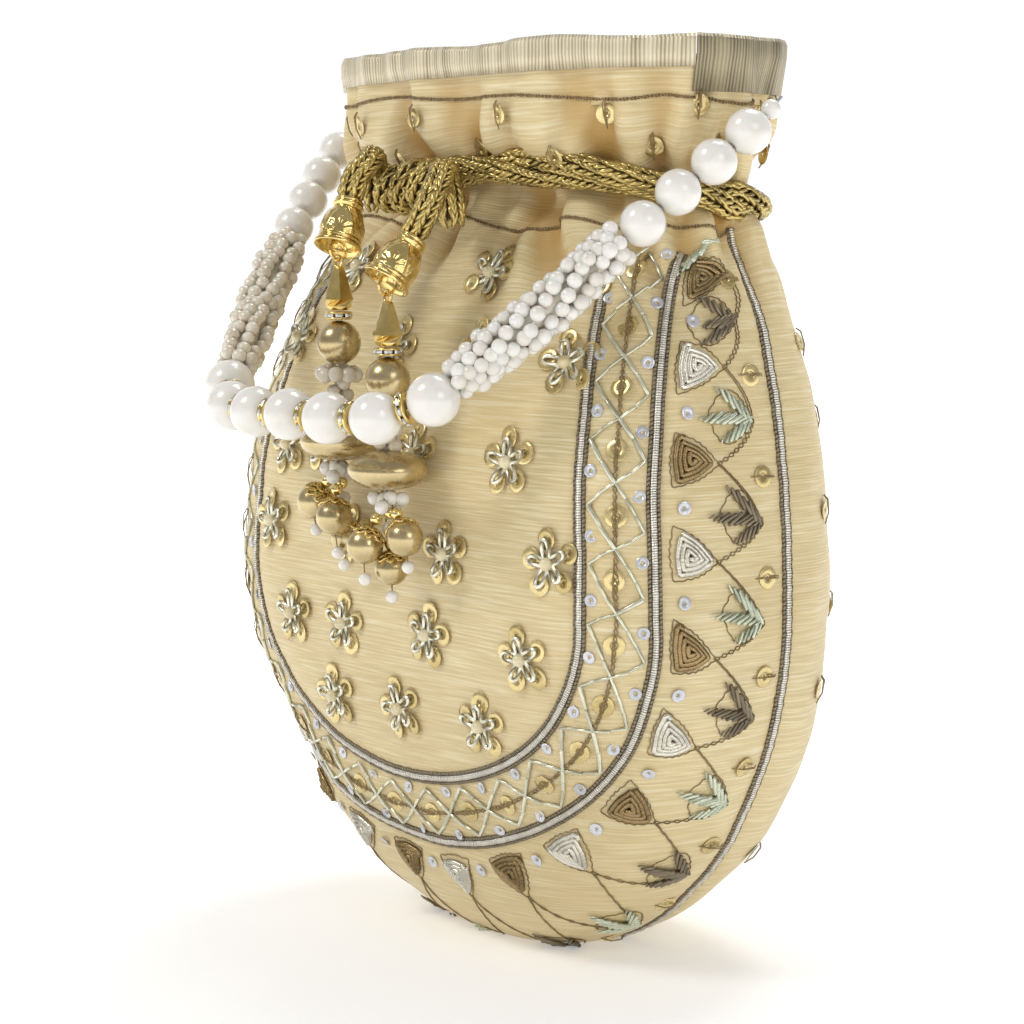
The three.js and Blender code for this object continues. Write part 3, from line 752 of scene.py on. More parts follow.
class Finish(Enum):
    """Every finish on the bag."""
    SILK = SilkFinish()
    LINING = ClothFinish()
    RIBBON = RibbonFinish((0.66, 0.59, 0.43), (0.36, 0.29, 0.17))
    TISSUE = RibbonFinish((0.36, 0.31, 0.20), (0.17, 0.14, 0.085), 0.5, 0.0009)
    # The twisted finishes' dark colours are painted shade in their grooves.
    SILVER_BRAID = TwistFinish((0.66, 0.63, 0.56), (0.24, 0.21, 0.16), 0.00066, 0.0, 0.7, 0.3)
    TAUPE_CORD = TwistFinish((0.22, 0.18, 0.115), (0.045, 0.034, 0.02), 0.0012, 1.0, 0.3, 0.45)
    BROWN_THREAD = TwistFinish((0.26, 0.18, 0.08), (0.07, 0.045, 0.02), 0.0011, 1.0, 0.3, 0.45)
    ZARI = MetalFinish((0.40, 0.30, 0.15), (0.16, 0.11, 0.05), 0.4, 0.7)
    BUGLE = MetalFinish((0.70, 0.70, 0.56), (0.34, 0.32, 0.21), 0.2, 0.6)
    BRONZE = MetalFinish((0.38, 0.27, 0.13), (0.12, 0.08, 0.035), 0.25, 0.85)
    SILVER = MetalFinish((0.82, 0.78, 0.68), (0.42, 0.37, 0.28), 0.22, 0.75)
    TAUPE_SATIN = MetalFinish((0.235, 0.19, 0.125), (0.09, 0.07, 0.04), 0.3, 0.6, brushed=True)
    GREEN_SATIN = MetalFinish((0.60, 0.64, 0.50), (0.26, 0.28, 0.19), 0.26, 0.55, brushed=True)
    SEQUIN = MetalFinish((0.72, 0.58, 0.28), (0.42, 0.31, 0.11), 0.26, 0.75)
    WHITE_SEQUIN = MetalFinish((0.64, 0.65, 0.69), (0.44, 0.44, 0.47), 0.16, 0.3)
    KNIT = MetalFinish((0.58, 0.45, 0.17), (0.12, 0.08, 0.02), 0.27, 0.85)
    # Near black: painted shade that shows in the gaps between the knitted Vs.
    CORE = MetalFinish((0.10, 0.07, 0.03), (0.04, 0.025, 0.01), 0.6, 0.3)
    GOLD = MetalFinish((0.90, 0.72, 0.33), (0.62, 0.44, 0.14), 0.15, 1.0, grain=500)
    DARK_GOLD = MetalFinish((0.34, 0.22, 0.07), (0.12, 0.07, 0.02), 0.35, 0.9)
    ANTIQUE = MetalFinish((0.62, 0.51, 0.29), (0.50, 0.39, 0.20), 0.24, 0.9, grain=350)
    PEARL = PearlFinish()
    CREAM_PEARL = PearlFinish((0.74, 0.69, 0.58), (0.54, 0.45, 0.31))
    YELLOW_PEARL = PearlFinish((0.78, 0.70, 0.47), (0.60, 0.45, 0.20))
    STONE = MetalFinish((0.82, 0.84, 0.86), (0.42, 0.43, 0.45), 0.06, 0.6)

    def material(self) -> Material:
        """The finish's material, made once, under a name that no loaded material has."""
        name = f"{self.name.lower()}_finish"
        return bpy.data.materials.get(name) or self.value.make(name)


# ---- The bag's form
@dataclass(frozen=True)
class BagForm:
    """The smooth form that the cloth, the embroidery and the cords lie on."""
    half_width: float = 0.095
    front_depth: float = 0.058
    back_depth: float = 0.046
    widest: float = 0.102
    sunk: float = 0.005
    power: float = 2.4
    back_square: float = 2.4
    stations: tuple = ((102, 95, 58, 46), (130, 93.5, 57, 45), (155, 89.5, 52.5, 42), (175, 84.5, 46, 37),
            (190, 79.5, 38.5, 31), (203, 74, 30, 25), (214, 71.5, 27, 23.5), (224, 74.5, 33.5, 26.5),
            (234, 78, 37, 29), (245, 81, 37.5, 30), (254, 81.5, 38, 30.5))
    squareness: tuple = ((0, 2.6), (49, 2.8), (65, 3.2), (84, 4.1), (115, 4.8), (150, 4.5), (185, 3.8),
            (214, 2.6), (245, 2.4))
    middle: tuple = (0.0, -0.004, 0.100)

    def section(self, z: Array) -> Array:
        """Half width, front depth and back depth at heights."""
        upper = smooth_table(np.array(self.stations) * MM, z)
        u = np.clip((self.widest - z) / (self.widest + self.sunk), 0, 1)
        side = (1 - u**self.power) ** (1 / self.power)
        low = np.stack([self.half_width * np.sqrt(1 - u * u), self.front_depth * side,
                self.back_depth * side], -1)
        return np.maximum(np.where((z > self.widest)[..., None], upper, low), 1e-6)

    def power_at(self, z: Array, y: Array) -> Array:
        """Squareness of the level section, in front and behind."""
        table = np.array(self.squareness) * np.array([MM, 1])
        return np.where(y < 0, smooth_table(table, z)[..., 0], self.back_square)

    def point(self, z: Array, angle: Array) -> Array:
        """Points at heights and angles; 0 is the +X seam and -90 degrees the middle of the front."""
        z, angle = np.broadcast_arrays(np.asarray(z, float), np.asarray(angle, float))
        width, front, back = np.moveaxis(self.section(z), -1, 0)
        c, s = np.cos(angle), np.sin(angle)
        p = self.power_at(z, s)
        reach = (np.abs(c) ** p + np.abs(s) ** p) ** (-1 / p)
        return np.stack([width * c * reach, np.where(s < 0, front, back) * s * reach, np.maximum(z, 0)], -1)

    def measure(self, p: Array) -> Array:
        """Below 1 inside the form and above 1 outside."""
        x, y, z = np.moveaxis(p, -1, 0)
        width, front, back = np.moveaxis(self.section(z), -1, 0)
        n = self.power_at(z, y)
        value = (np.abs(x / width) ** n + np.abs(y / np.where(y < 0, front, back)) ** n) ** (1 / n)
        return np.where(z < 0, 9.0, value)

    def project(self, p: Array) -> Array:
        """Each point moved along the ray from the form's middle onto its surface."""
        middle = np.array(self.middle)
        way = np.asarray(p, float) - middle
        low, high = np.full(way.shape[:-1], 0.1), np.full(way.shape[:-1], 4.0)
        for _ in range(34):
            at = (low + high) / 2
            inside = self.measure(middle + way * at[..., None]) < 1
            low, high = np.where(inside, at, low), np.where(inside, high, at)
        return middle + way * low[..., None]

    def front(self, x: Array, z: Array) -> Array:
        """The point of the front that is right behind X and Z, seen along +Y."""
        x, z = np.broadcast_arrays(np.asarray(x, float), np.asarray(z, float))
        width, depth, _ = np.moveaxis(self.section(z), -1, 0)
        n = self.power_at(z, np.full(z.shape, -1.0))
        share = np.clip(1 - np.abs(x / width) ** n, 0, 1) ** (1 / n)
        return np.stack([x, -depth * share, z], -1)

    def normal(self, p: Array) -> Array:
        """The way out of the surface."""
        step = 0.0004
        grad = np.stack([self.measure(p + step * e) - self.measure(p - step * e) for e in np.eye(3)], -1)
        flat = (p[..., 2] < 0.0012)[..., None]
        return unit(np.where(flat, np.array([0, 0, -1.0]), grad))


@dataclass
class Cloth:
    """The form with its folds, its padding and the dips where the pipings are sewn down."""
    form: BagForm
    dips: Array = field(default_factory=lambda: np.zeros((0, 3)))
    cord_height: float = 0.213
    side_drop: float = 0.0035
    front_rise: float = 0.003
    arch: float = 0.0045
    frill_fold: float = 0.0040
    neck_fold: float = 0.0032
    frill_swell: float = 0.0026
    neck_swell: float = 0.0012
    pinch: float = 0.0013
    sag: float = 0.0007
    crinkle: float = 0.00022
    dip_depth: float = 0.0009
    dip_width: float = 0.0032
    puff: float = 0.0007

    def cord_at(self, angle: Array) -> Array:
        """Height of the drawcord round the neck."""
        arch = self.arch * bell(np.mod(angle + math.pi, TURN) - math.pi + 1.15, 0.5)
        return self.cord_height - self.side_drop * np.cos(angle) - self.front_rise * np.sin(angle) + arch

    def folds(self, p: Array) -> Array:
        """Gathers round the neck, from -1 in the valleys to 1."""
        angle = np.arctan2(p[..., 1] * 1.9, p[..., 0])
        z = p[..., 2]
        above = z > self.cord_at(angle)
        total = np.zeros(z.shape)
        rng = np.random.default_rng(11)
        for n, size in ((7, 0.55), (12, 0.6), (19, 0.55), (29, 0.35), (41, 0.18)):
            low_phase = rng.uniform(0, 6.28)
            high_phase = rng.uniform(0, 6.28)
            drift = rng.uniform(-9, 9)
            phase = np.where(above, high_phase, low_phase) * ramp(np.abs(z - self.cord_height), 0.0, 0.014)
            total += size * np.sin(n * angle + phase + drift * (z - self.cord_height) / 0.03 * 0.35)
        return np.tanh(1.2 * total)

    def relief(self, p: Array) -> tuple[Array, Array]:
        """How far the cloth stands out from the form, and how much painted shade each point gets, 0 to 1."""
        z = p[..., 2]
        angle = np.arctan2(p[..., 1] * 1.9, p[..., 0])
        cord = self.cord_at(angle)
        above = np.where(z > cord, ramp(z, 0.251, 0.226) * 0.8 + 0.2, 0)
        below = np.where(z <= cord, ramp(z, 0.172, 0.206), 0)
        folds = self.folds(p)
        size = (self.frill_fold * above + self.neck_fold * below) * (0.35 + 0.65
                * ramp(np.abs(z - cord), 0.0, 0.008))
        out = size * (folds - 0.25)
        out += np.where(z > cord, self.frill_swell * bell(z - 0.2275, 0.0085),
                self.neck_swell * bell(z - 0.202, 0.006))
        out -= self.pinch * bell(z - cord, 0.0035)
        soft = ramp(z, 0.0, 0.02)
        out += self.sag * waves(p, 5, 0.07, 3) * soft + self.crinkle * waves(p, 6, 0.022, 4) * soft
        # Painted shade in the fold valleys, then a band of painted shade along the drawcord.
        fold = np.clip(-folds * 1.1, 0, 1) * np.clip(above * 1.0 + below * 0.9, 0, 1)
        fold = np.clip(fold + 0.35 * bell(z - cord, 0.005) * (above + below), 0, 1)
        if len(self.dips):
            flat = p.reshape(-1, 3)
            near = np.full(len(flat), 1.0)
            for start in range(0, len(flat), 20000):
                part = flat[start:start + 20000]
                gap = ((part[:, None, :] - self.dips[None]) ** 2).sum(-1).min(1)
                near[start:start + 20000] = np.sqrt(gap)
            near = near.reshape(z.shape)
            puff = ramp(near, 0.001, 0.011) * ramp(z, 0.203, 0.19) * ramp(z, 0.0, 0.02)
            out = out - self.dip_depth * bell(near, self.dip_width) + self.puff * puff
            # Painted shade along the dips beside the sewn-down pipings.
            fold = np.clip(fold + 0.16 * bell(near, 0.0022), 0, 1)
        return out, fold

    def lay(self, p: Array, lift: float = 0.0) -> tuple[Array, Array]:
        """Points of the form carried onto the cloth and lifted off it, with the way out there."""
        normal = self.form.normal(p)
        return p + normal * (self.relief(p)[0] + lift)[..., None], normal


# ---- Lines of the pattern
@dataclass(frozen=True)
class LoopLine:
    """A U on the front: two sides down from the neck and a half ellipse below."""
    top: float
    upper: float
    half_width: float
    bottom: float
    bend: float = 0.102
    count: int = 240

    def line(self, form: BagForm) -> Array:
        """The line on the form, from the top on +X round the bottom to the top on -X."""
        rise = np.linspace(1, 0, self.count // 2, endpoint=False)
        turn = np.linspace(0, math.pi / 2, self.count // 2)
        z = np.r_[self.bend + (self.top - self.bend) * rise, self.bend - (self.bend - self.bottom)
                * np.sin(turn)]
        x = np.r_[self.half_width - (self.half_width - self.upper) * rise**2, self.half_width * np.cos(turn)]
        right = form.front(x, z)
        left = right[::-1][1:] * np.array([-1, 1, 1])
        return along_line(np.vstack([right, left]), count=2 * self.count + 1)


@dataclass
class Strip:
    """A strip of the bag between two lines, with distances along and across it in metres."""
    form: BagForm
    cloth: Cloth
    inner: Array
    outer: Array
    columns: int = 25

    def __post_init__(self) -> None:
        """Lays a grid over the strip, evenly spaced across."""
        t = np.linspace(0, 1, self.columns)
        mixed = self.inner[:, None] * (1 - t)[None, :, None] + self.outer[:, None] * t[None, :, None]
        on = self.form.project(mixed)
        self.grid = np.stack([along_line(row, count=self.columns) for row in on])
        self.grid = self.form.project(self.grid)
        centre = self.grid[:, self.columns // 2]
        self.run = distances(centre)
        self.width = np.linalg.norm(np.diff(self.grid, axis=1), axis=2).sum(1)

    @property
    def length(self) -> float:
        """Length of the strip's middle line."""
        return float(self.run[-1])

    def width_at(self, s: float) -> float:
        """Width of the strip at a distance along it."""
        return np.interp(s, self.run, self.width)

    def at(self, s: Array, t: Array, lift: float = 0.0) -> tuple[Array, Array, Array]:
        """Points of the cloth at distances along and shares across, with the way out and the way along."""
        s, t = np.broadcast_arrays(np.asarray(s, float), np.asarray(t, float))
        row = np.interp(s, self.run, np.arange(len(self.run)))
        column = np.clip(t, 0, 1) * (self.columns - 1)
        r, c = np.minimum(row.astype(int), len(self.run) - 2), np.minimum(column.astype(int),
                self.columns - 2)
        a, b = (row - r)[..., None], (column - c)[..., None]
        g = self.grid
        p = (g[r, c] * (1 - a) + g[r + 1, c] * a) * (1 - b) + (g[r, c + 1] * (1 - a) + g[r + 1, c + 1]
                * a) * b
        along = unit(g[r + 1, c] - g[r, c])
        p, normal = self.cloth.lay(self.form.project(p), lift)
        return p, normal, along


# ---- Studio
@dataclass(frozen=True)
class Studio:
    """Camera, floor and soft lights."""
    camera_at: tuple = (0.5528, -0.4783, 0.198)
    look: tuple = (-0.7630, 0.6388, -0.1055)
    field_of_view: float = 22.95

    def camera(self) -> None:
        """Makes the camera and makes it the scene's."""
        data = bpy.data.cameras.new("camera")
        data.sensor_width = 36
        data.lens = 18 / math.tan(math.radians(self.field_of_view / 2))
        data.clip_start = 0.01
        made = bpy.data.objects.new("camera", data)
        made.location = self.camera_at
        made.rotation_euler = Vector(self.look).to_track_quat("-Z", "Y").to_euler()
        bpy.context.scene.collection.objects.link(made)
        bpy.context.scene.camera = made

    def light(self, name: str, at: tuple, aim: tuple, size: float, power: float,
            color: tuple = (1, 1, 1)) -> None:
        """One square soft light that looks at a point."""
        data = bpy.data.lights.new(name, "AREA")
        data.shape, data.size, data.energy, data.color = "SQUARE", size, power, color
        made = bpy.data.objects.new(name, data)
        made.location = at
        made.rotation_euler = (Vector(aim) - Vector(at)).to_track_quat("-Z", "Y").to_euler()
        bpy.context.scene.collection.objects.link(made)

    def build(self) -> None:
        """Floor with a painted glow, world and lights."""
        bpy.context.scene.view_settings.view_transform = "Standard"
        floor = Pieces()
        reach = np.array([-9.0, 9.0])
        p = np.stack([*np.meshgrid(reach, reach, indexing="ij"), np.zeros((2, 2))], -1)
        floor.grid(p, p[..., :2])
        paper = Shader("paper", (0.88, 0.88, 0.88), 0.8)
        paper.surface.inputs["Emission Color"].default_value = (1, 1, 1, 1)
        # The floor glows as painted light: dimmer near the bag, which paints shade round it, and white
        # further off.
        away = paper.node("ShaderNodeVectorMath", {"operation": "LENGTH"},
                i0=paper.coordinates((1, 1, 1))).outputs["Value"]
        painted_floor_glow = paper.spread(away, 0.10, 0.75, 0.30, 0.95)
        paper.links.new(painted_floor_glow, paper.surface.inputs["Emission Strength"])
        paper.bump((paper.noise(paper.coordinates((400, 400, 400)), 1.0), 0.0001, 0.05))
        floor.build("floor", paper.material)
        world = bpy.data.worlds.new("studio")
        world.use_nodes = True
        tree = world.node_tree
        way = add_node(tree, "ShaderNodeTexCoord", None, {}).outputs["Generated"]
        toward = add_node(tree, "ShaderNodeVectorMath", {"operation": "DOT_PRODUCT"},
                {"i0": way, "i1": self.look})
        fade = add_node(tree, "ShaderNodeMapRange", None, {"Value": toward.outputs["Value"], "From_Min": 0.30,
                "From_Max": 0.85, "To_Min": 0.36, "To_Max": 1.04})
        tree.links.new(fade.outputs[0], tree.nodes["Background"].inputs[1])
        tree.nodes["Background"].inputs[0].default_value = (1.0, 1.0, 1.0, 1)
        bpy.context.scene.world = world
        self.light("key", (-0.5, -1.4, 1.6), (0, 0, 0.10), 0.6, 13.5, (1, 0.99, 0.97))
        self.light("top", (-0.2, 0.6, 1.5), (0, 0, 0.05), 0.6, 9.0)
        self.light("side", (1.6, -0.2, 0.8), (0, 0, 0.12), 0.7, 4.5)


# ---- Cloth parts
@dataclass
class SilkPouch:
    """Front and back panels, with their gathers and frill, and the lining."""
    cloth: Cloth
    columns: int = 200
    low_rows: int = 90
    high_rows: int = 150
    top: float = 0.2465
    lining_columns: int = 160
    thickness: float = 0.0022

    def heights(self) -> Array:
        """Heights of the rows: even steps of angle round the bottom, then even steps up."""
        form = self.cloth.form
        turn = np.linspace(0.012, math.pi / 2, self.low_rows, endpoint=False)
        low = form.widest - (form.widest + form.sunk) * np.cos(turn)
        return np.r_[low, np.linspace(form.widest, self.top, self.high_rows)]

    def panel(self, name: str, start: float) -> Thing:
        """One panel: outer skin, turned over the top edge and down inside for its thickness."""
        z, a = np.meshgrid(self.heights(), start + np.linspace(0, math.pi, self.columns), indexing="ij")
        base = self.cloth.form.point(z, a)
        out, fold = self.cloth.relief(base)
        p = base + self.cloth.form.normal(base) * out[..., None]
        gap = np.linalg.norm(np.diff(p, axis=1), axis=2)
        u = np.concatenate([np.zeros((len(p), 1)), np.cumsum(gap, 1)], 1)
        u = u - u[:, self.columns // 2][:, None]
        rise = np.linalg.norm(np.diff(p[:, self.columns // 4], axis=0), axis=1)
        v = np.repeat(np.r_[0, np.cumsum(rise)][:, None], self.columns, 1)
        inner = p[-1] - self.cloth.form.normal(base[-1]) * self.thickness
        deep = inner - np.array([0, 0, 0.012])
        p = np.concatenate([p, inner[None], deep[None]])
        edge = v[-1:] + np.array([[0.002], [0.014]])
        uv = np.stack([np.concatenate([u, u[-1:], u[-1:]]), np.concatenate([v, edge * np.ones_like(u[:1])])],
                -1)
        made = Pieces()
        made.grid(p, uv)
        done = made.build(name, Finish.SILK.material())
        # Painted shade for the silk in the folds, and a little on the turned-in top edge.
        marks = done.data.attributes.new("fold", "FLOAT", "POINT")
        marks.data.foreach_set("value", np.r_[fold.ravel(), np.full(2 * self.columns,
                0.25)].astype(np.float32))
        return done

    def lining(self) -> Thing:
        """The lining pouch, one sheet a little inside the panels with its own folds."""
        z, a = np.meshgrid(self.heights()[::2], around(self.lining_columns), indexing="ij")
        base = self.cloth.form.point(z, a)
        normal = self.cloth.form.normal(base)
        lean = 0.6 * self.cloth.relief(base)[0] + 0.0006 * waves(base, 9, 0.03, 3)
        outer = base + normal * (lean - 0.0036)[..., None]
        inner = base + normal * (lean - 0.0044)[..., None]
        outer[..., 2], inner[..., 2] = np.maximum(outer[..., 2], 0.0032), np.maximum(inner[..., 2], 0.0040)
        p = np.concatenate([outer, inner[::-1]])
        run = np.linspace(0, 0.52, self.lining_columns + 1)
        v = np.r_[z[:, 0], z[::-1, 0]]
        made = Pieces()
        made.grid(p, np.stack(np.meshgrid(v, run, indexing="ij"), -1)[..., ::-1], wrap_columns=True)
        return made.build("lining_pouch", Finish.LINING.material())

    def build(self) -> None:
        """Makes both panels and the lining."""
        front = self.panel("silk_front", -math.pi)
        back = self.panel("silk_back", 0.0)
        hand_over(front, "bag", "front_panel")
        hand_over(back, "bag", "back_panel")
        hand_over(self.lining(), "bag", "lining")


@dataclass
class MouthRibbon:
    """The ribbon over the mouth's edge, pale in front and dark tissue behind, with a couched line below."""
    cloth: Cloth
    shop: Workshop
    start: float = -TURN / 14
    thick: float = 0.0011

    def band(self, name: str, start: float, bottom: float, finish: Finish, seed: int) -> Thing:
        """Half of the ribbon, with a slightly uneven edge and a fold at each end."""
        columns, form = 220, self.cloth.form
        angle = start + np.linspace(0.004, math.pi - 0.004, columns)
        profile = [(bottom, 0.0), (bottom, 1.0), (0.2475, 1.25), (0.2512, 1.2), (0.2526, 0.6), (0.2514, 0.0),
                (0.2475, -0.1), (0.2415, -2.6), (0.2395, -2.7)]
        rows = []
        base_line = form.point(np.full(columns, 0.245), angle)
        lift = 0.0011 * waves(base_line, seed, 0.05, 3)
        pleat = 0.0007 * waves(base_line, seed + 5, 0.014, 3)
        level = np.array([1, 1, 0])
        normal = unit(form.normal(base_line) * level)
        for height, reach in profile:
            relief = self.cloth.relief(form.point(np.full(columns, min(height, 0.2465)), angle))[0]
            flare = (form.point(np.full(columns, min(height, 0.25)), angle) - base_line) * level
            away = 0.75 * relief + 0.0004 + pleat * ramp(np.float64(height), 0.238, 0.25) + self.thick * reach
            p = base_line + flare + normal * away[:, None]
            p[:, 2] = height + lift * ramp(np.float64(height), 0.242, 0.2505)
            rows.append(p)
        p = np.stack(rows)
        run = distances(base_line)
        v = distances(p[:, 5])
        made = Pieces()
        made.grid(p[::-1], np.stack(np.meshgrid(v[::-1], run, indexing="ij"), -1)[..., ::-1])
        return made.build(name, finish.material())

    def couched(self) -> None:
        """A dark gold chain line that wanders just under the ribbon and round the neck, in stitches."""
        form = self.cloth.form
        angle = np.linspace(-math.pi, math.pi, 900)
        z = 0.2392 - 0.0032 * ramp(np.cos(angle), -0.4, 1.0) + 0.0006 * np.sin(9 * angle)
        top, _ = self.cloth.lay(form.point(z, angle), 0.0004)
        angle = np.linspace(-math.pi + 0.05, -0.05, 500)
        z = 0.2035 - 0.0016 * np.cos(angle) + 0.0012 * np.sin(11 * angle + 0.6)
        low, _ = self.cloth.lay(form.point(z, angle), 0.0004)
        made = Pieces()
        for line in (top, low):
            line = along_line(line, step=0.0008)
            way = directions(line)
            out = self.cloth.form.normal(line)
            side = unit(np.cross(way, out))
            phase = np.arange(len(line)) * 0.0008 / 0.0022 * TURN
            for turn in (0.0, math.pi):
                sway = side * (0.00032 * np.sin(phase + turn))[:, None]
                rise = out * (0.0002 * np.cos(phase + turn))[:, None]
                made.sweep(line + (sway + rise), 0.00026, sides=5)
        hand_over(made.build("couched_lines", Finish.BROWN_THREAD.material()), "bag")

    def build(self) -> None:
        """Both halves and the couched lines."""
        pale = self.band("ribbon_front", self.start - math.pi, 0.2440, Finish.RIBBON, 21)
        dark = self.band("tissue_back", self.start, 0.2375, Finish.TISSUE, 22)
        hand_over(pale, "bag", "mouth_band_front")
        hand_over(dark, "bag", "mouth_band_back")
        self.couched()


@dataclass
class Pipings:
    """Three sewn-down pipings: a ribbed silver braid with a twisted dark cord on each side."""
    cloth: Cloth
    inner: Array
    middle: Array
    outer: Array

    def one(self, name: str, line: Array, sides: tuple) -> None:
        """One piping, as braid and cords.

        Args:
            name: What the pieces are called, and the CAD node that the braid stands for.
            line: Its line on the form.
            sides: Offsets of the dark cords across the line, in metres.
        """
        line = along_line(line, step=0.0011)
        on, normal = self.cloth.lay(line)
        side = unit(np.cross(directions(on), normal))
        braid = Pieces()
        braid.sweep(on + normal * 0.0007, 0.0009, sides=8, up=normal, flat=0.7)
        silver = braid.build(name + "_braid", Finish.SILVER_BRAID.material())
        cords = Pieces()
        for offset in sides:
            cords.sweep(on + side * offset + normal * 0.0004, 0.00052, sides=7, up=normal)
        dark = cords.build(name + "_cord", Finish.TAUPE_CORD.material())
        hand_over(silver, "bag", name)
        hand_over(dark, "bag")

    def build(self) -> None:
        """All three."""
        self.one("inner_piping", self.inner, (-0.00135, 0.00135))
        self.one("middle_piping", self.middle, (-0.00135, 0.00135))
        self.one("outer_piping", self.outer, (0.00135, -0.00125))


# ---- Embroidery
@dataclass
class SmallPieces:
    """The small shapes that are copied: sequins, beads and tubes, each with its Z out."""
    made: list = field(default_factory=list)

    def keep(self, thing: Thing) -> Thing:
        """Remembers a shape so that it can be removed at the end."""
        self.made.append(thing)
        return thing

    def sequin(self, radius: float, hole: float, dish: float, name: str) -> Thing:
        """A thin dished disc with a hole."""
        profile = np.array([[hole, 0.0], [hole, 0.00016], [radius * 0.55, 0.00016 + dish * 0.4],
                [radius * 0.97, 0.00016 + dish], [radius, 0.00008 + dish], [radius * 0.97, dish],
                [radius * 0.55, dish * 0.4], [hole, 0.0]])
        shape = Pieces()
        shape.lathe(profile[::-1], 16)
        return self.keep(shape.build(name, Finish.SEQUIN.material()))

    def gold_disc(self, name: str, radius: float = 0.003) -> Thing:
        """The common gold sequin."""
        return self.sequin(radius, 0.00035, 0.00012, name)

    def bead(self, radius: float, name: str, segments: int = 12, squash: float = 1.0) -> Thing:
        """A round bead."""
        a = np.linspace(0, math.pi, segments // 2 + 1)
        shape = Pieces()
        shape.lathe(np.stack([np.maximum(radius * np.sin(a), 1e-6), -radius * squash * np.cos(a)], 1)[::-1],
                segments)
        return self.keep(shape.build(name, Finish.PEARL.material()))

    def rod(self, length: float, radius: float, name: str) -> Thing:
        """A straight tube that lies along X, its ends rounded."""
        x = np.array([-0.5, -0.46, 0, 0.46, 0.5]) * length
        shape = Pieces()
        shape.sweep(np.stack([x, 0 * x, 0 * x + radius * 0.7], 1),
                radius * np.array([0.75, 1, 1.04, 1, 0.75]), sides=6)
        return self.keep(shape.build(name, Finish.BUGLE.material()))

    def knit(self, name: str) -> Thing:
        """One knitted V, a unit long, whose arms lie along X."""
        shape = Pieces()
        for side in (-1, 1):
            line = spline([(-0.75, 0.50 * side, -0.05), (-0.2, 0.42 * side, 0.16), (0.35, 0.22 * side, 0.2),
                    (0.75, 0.05 * side, -0.08)], 4)
            shape.sweep(line, np.array([0.15, 0.21, 0.21, 0.13]), sides=4)
        return self.keep(shape.build(name, Finish.KNIT.material()))

    def coil(self, name: str) -> Thing:
        """One turn of purl, as a short fat ring round X."""
        shape = Pieces()
        a = around(6)
        line = np.stack([0 * a, 0.5 * np.cos(a), 0.5 * np.sin(a) + 0.35], 1)
        shape.sweep(line, 0.27, sides=3, closed=True)
        return self.keep(shape.build(name, Finish.BRONZE.material()))

    def clear(self) -> None:
        """Removes the shapes that were only copied from."""
        for thing in self.made:
            bpy.data.objects.remove(thing)
        self.made.clear()


def three_cornered(angle: Array) -> Array:
    """Reach of a rounded triangle at angles, as a share of its size."""
    third = np.mod(angle - math.pi / 2, TURN / 3) - math.pi / 3
    return 0.72 * 0.5 / np.cos(third) + 0.28 * 0.72


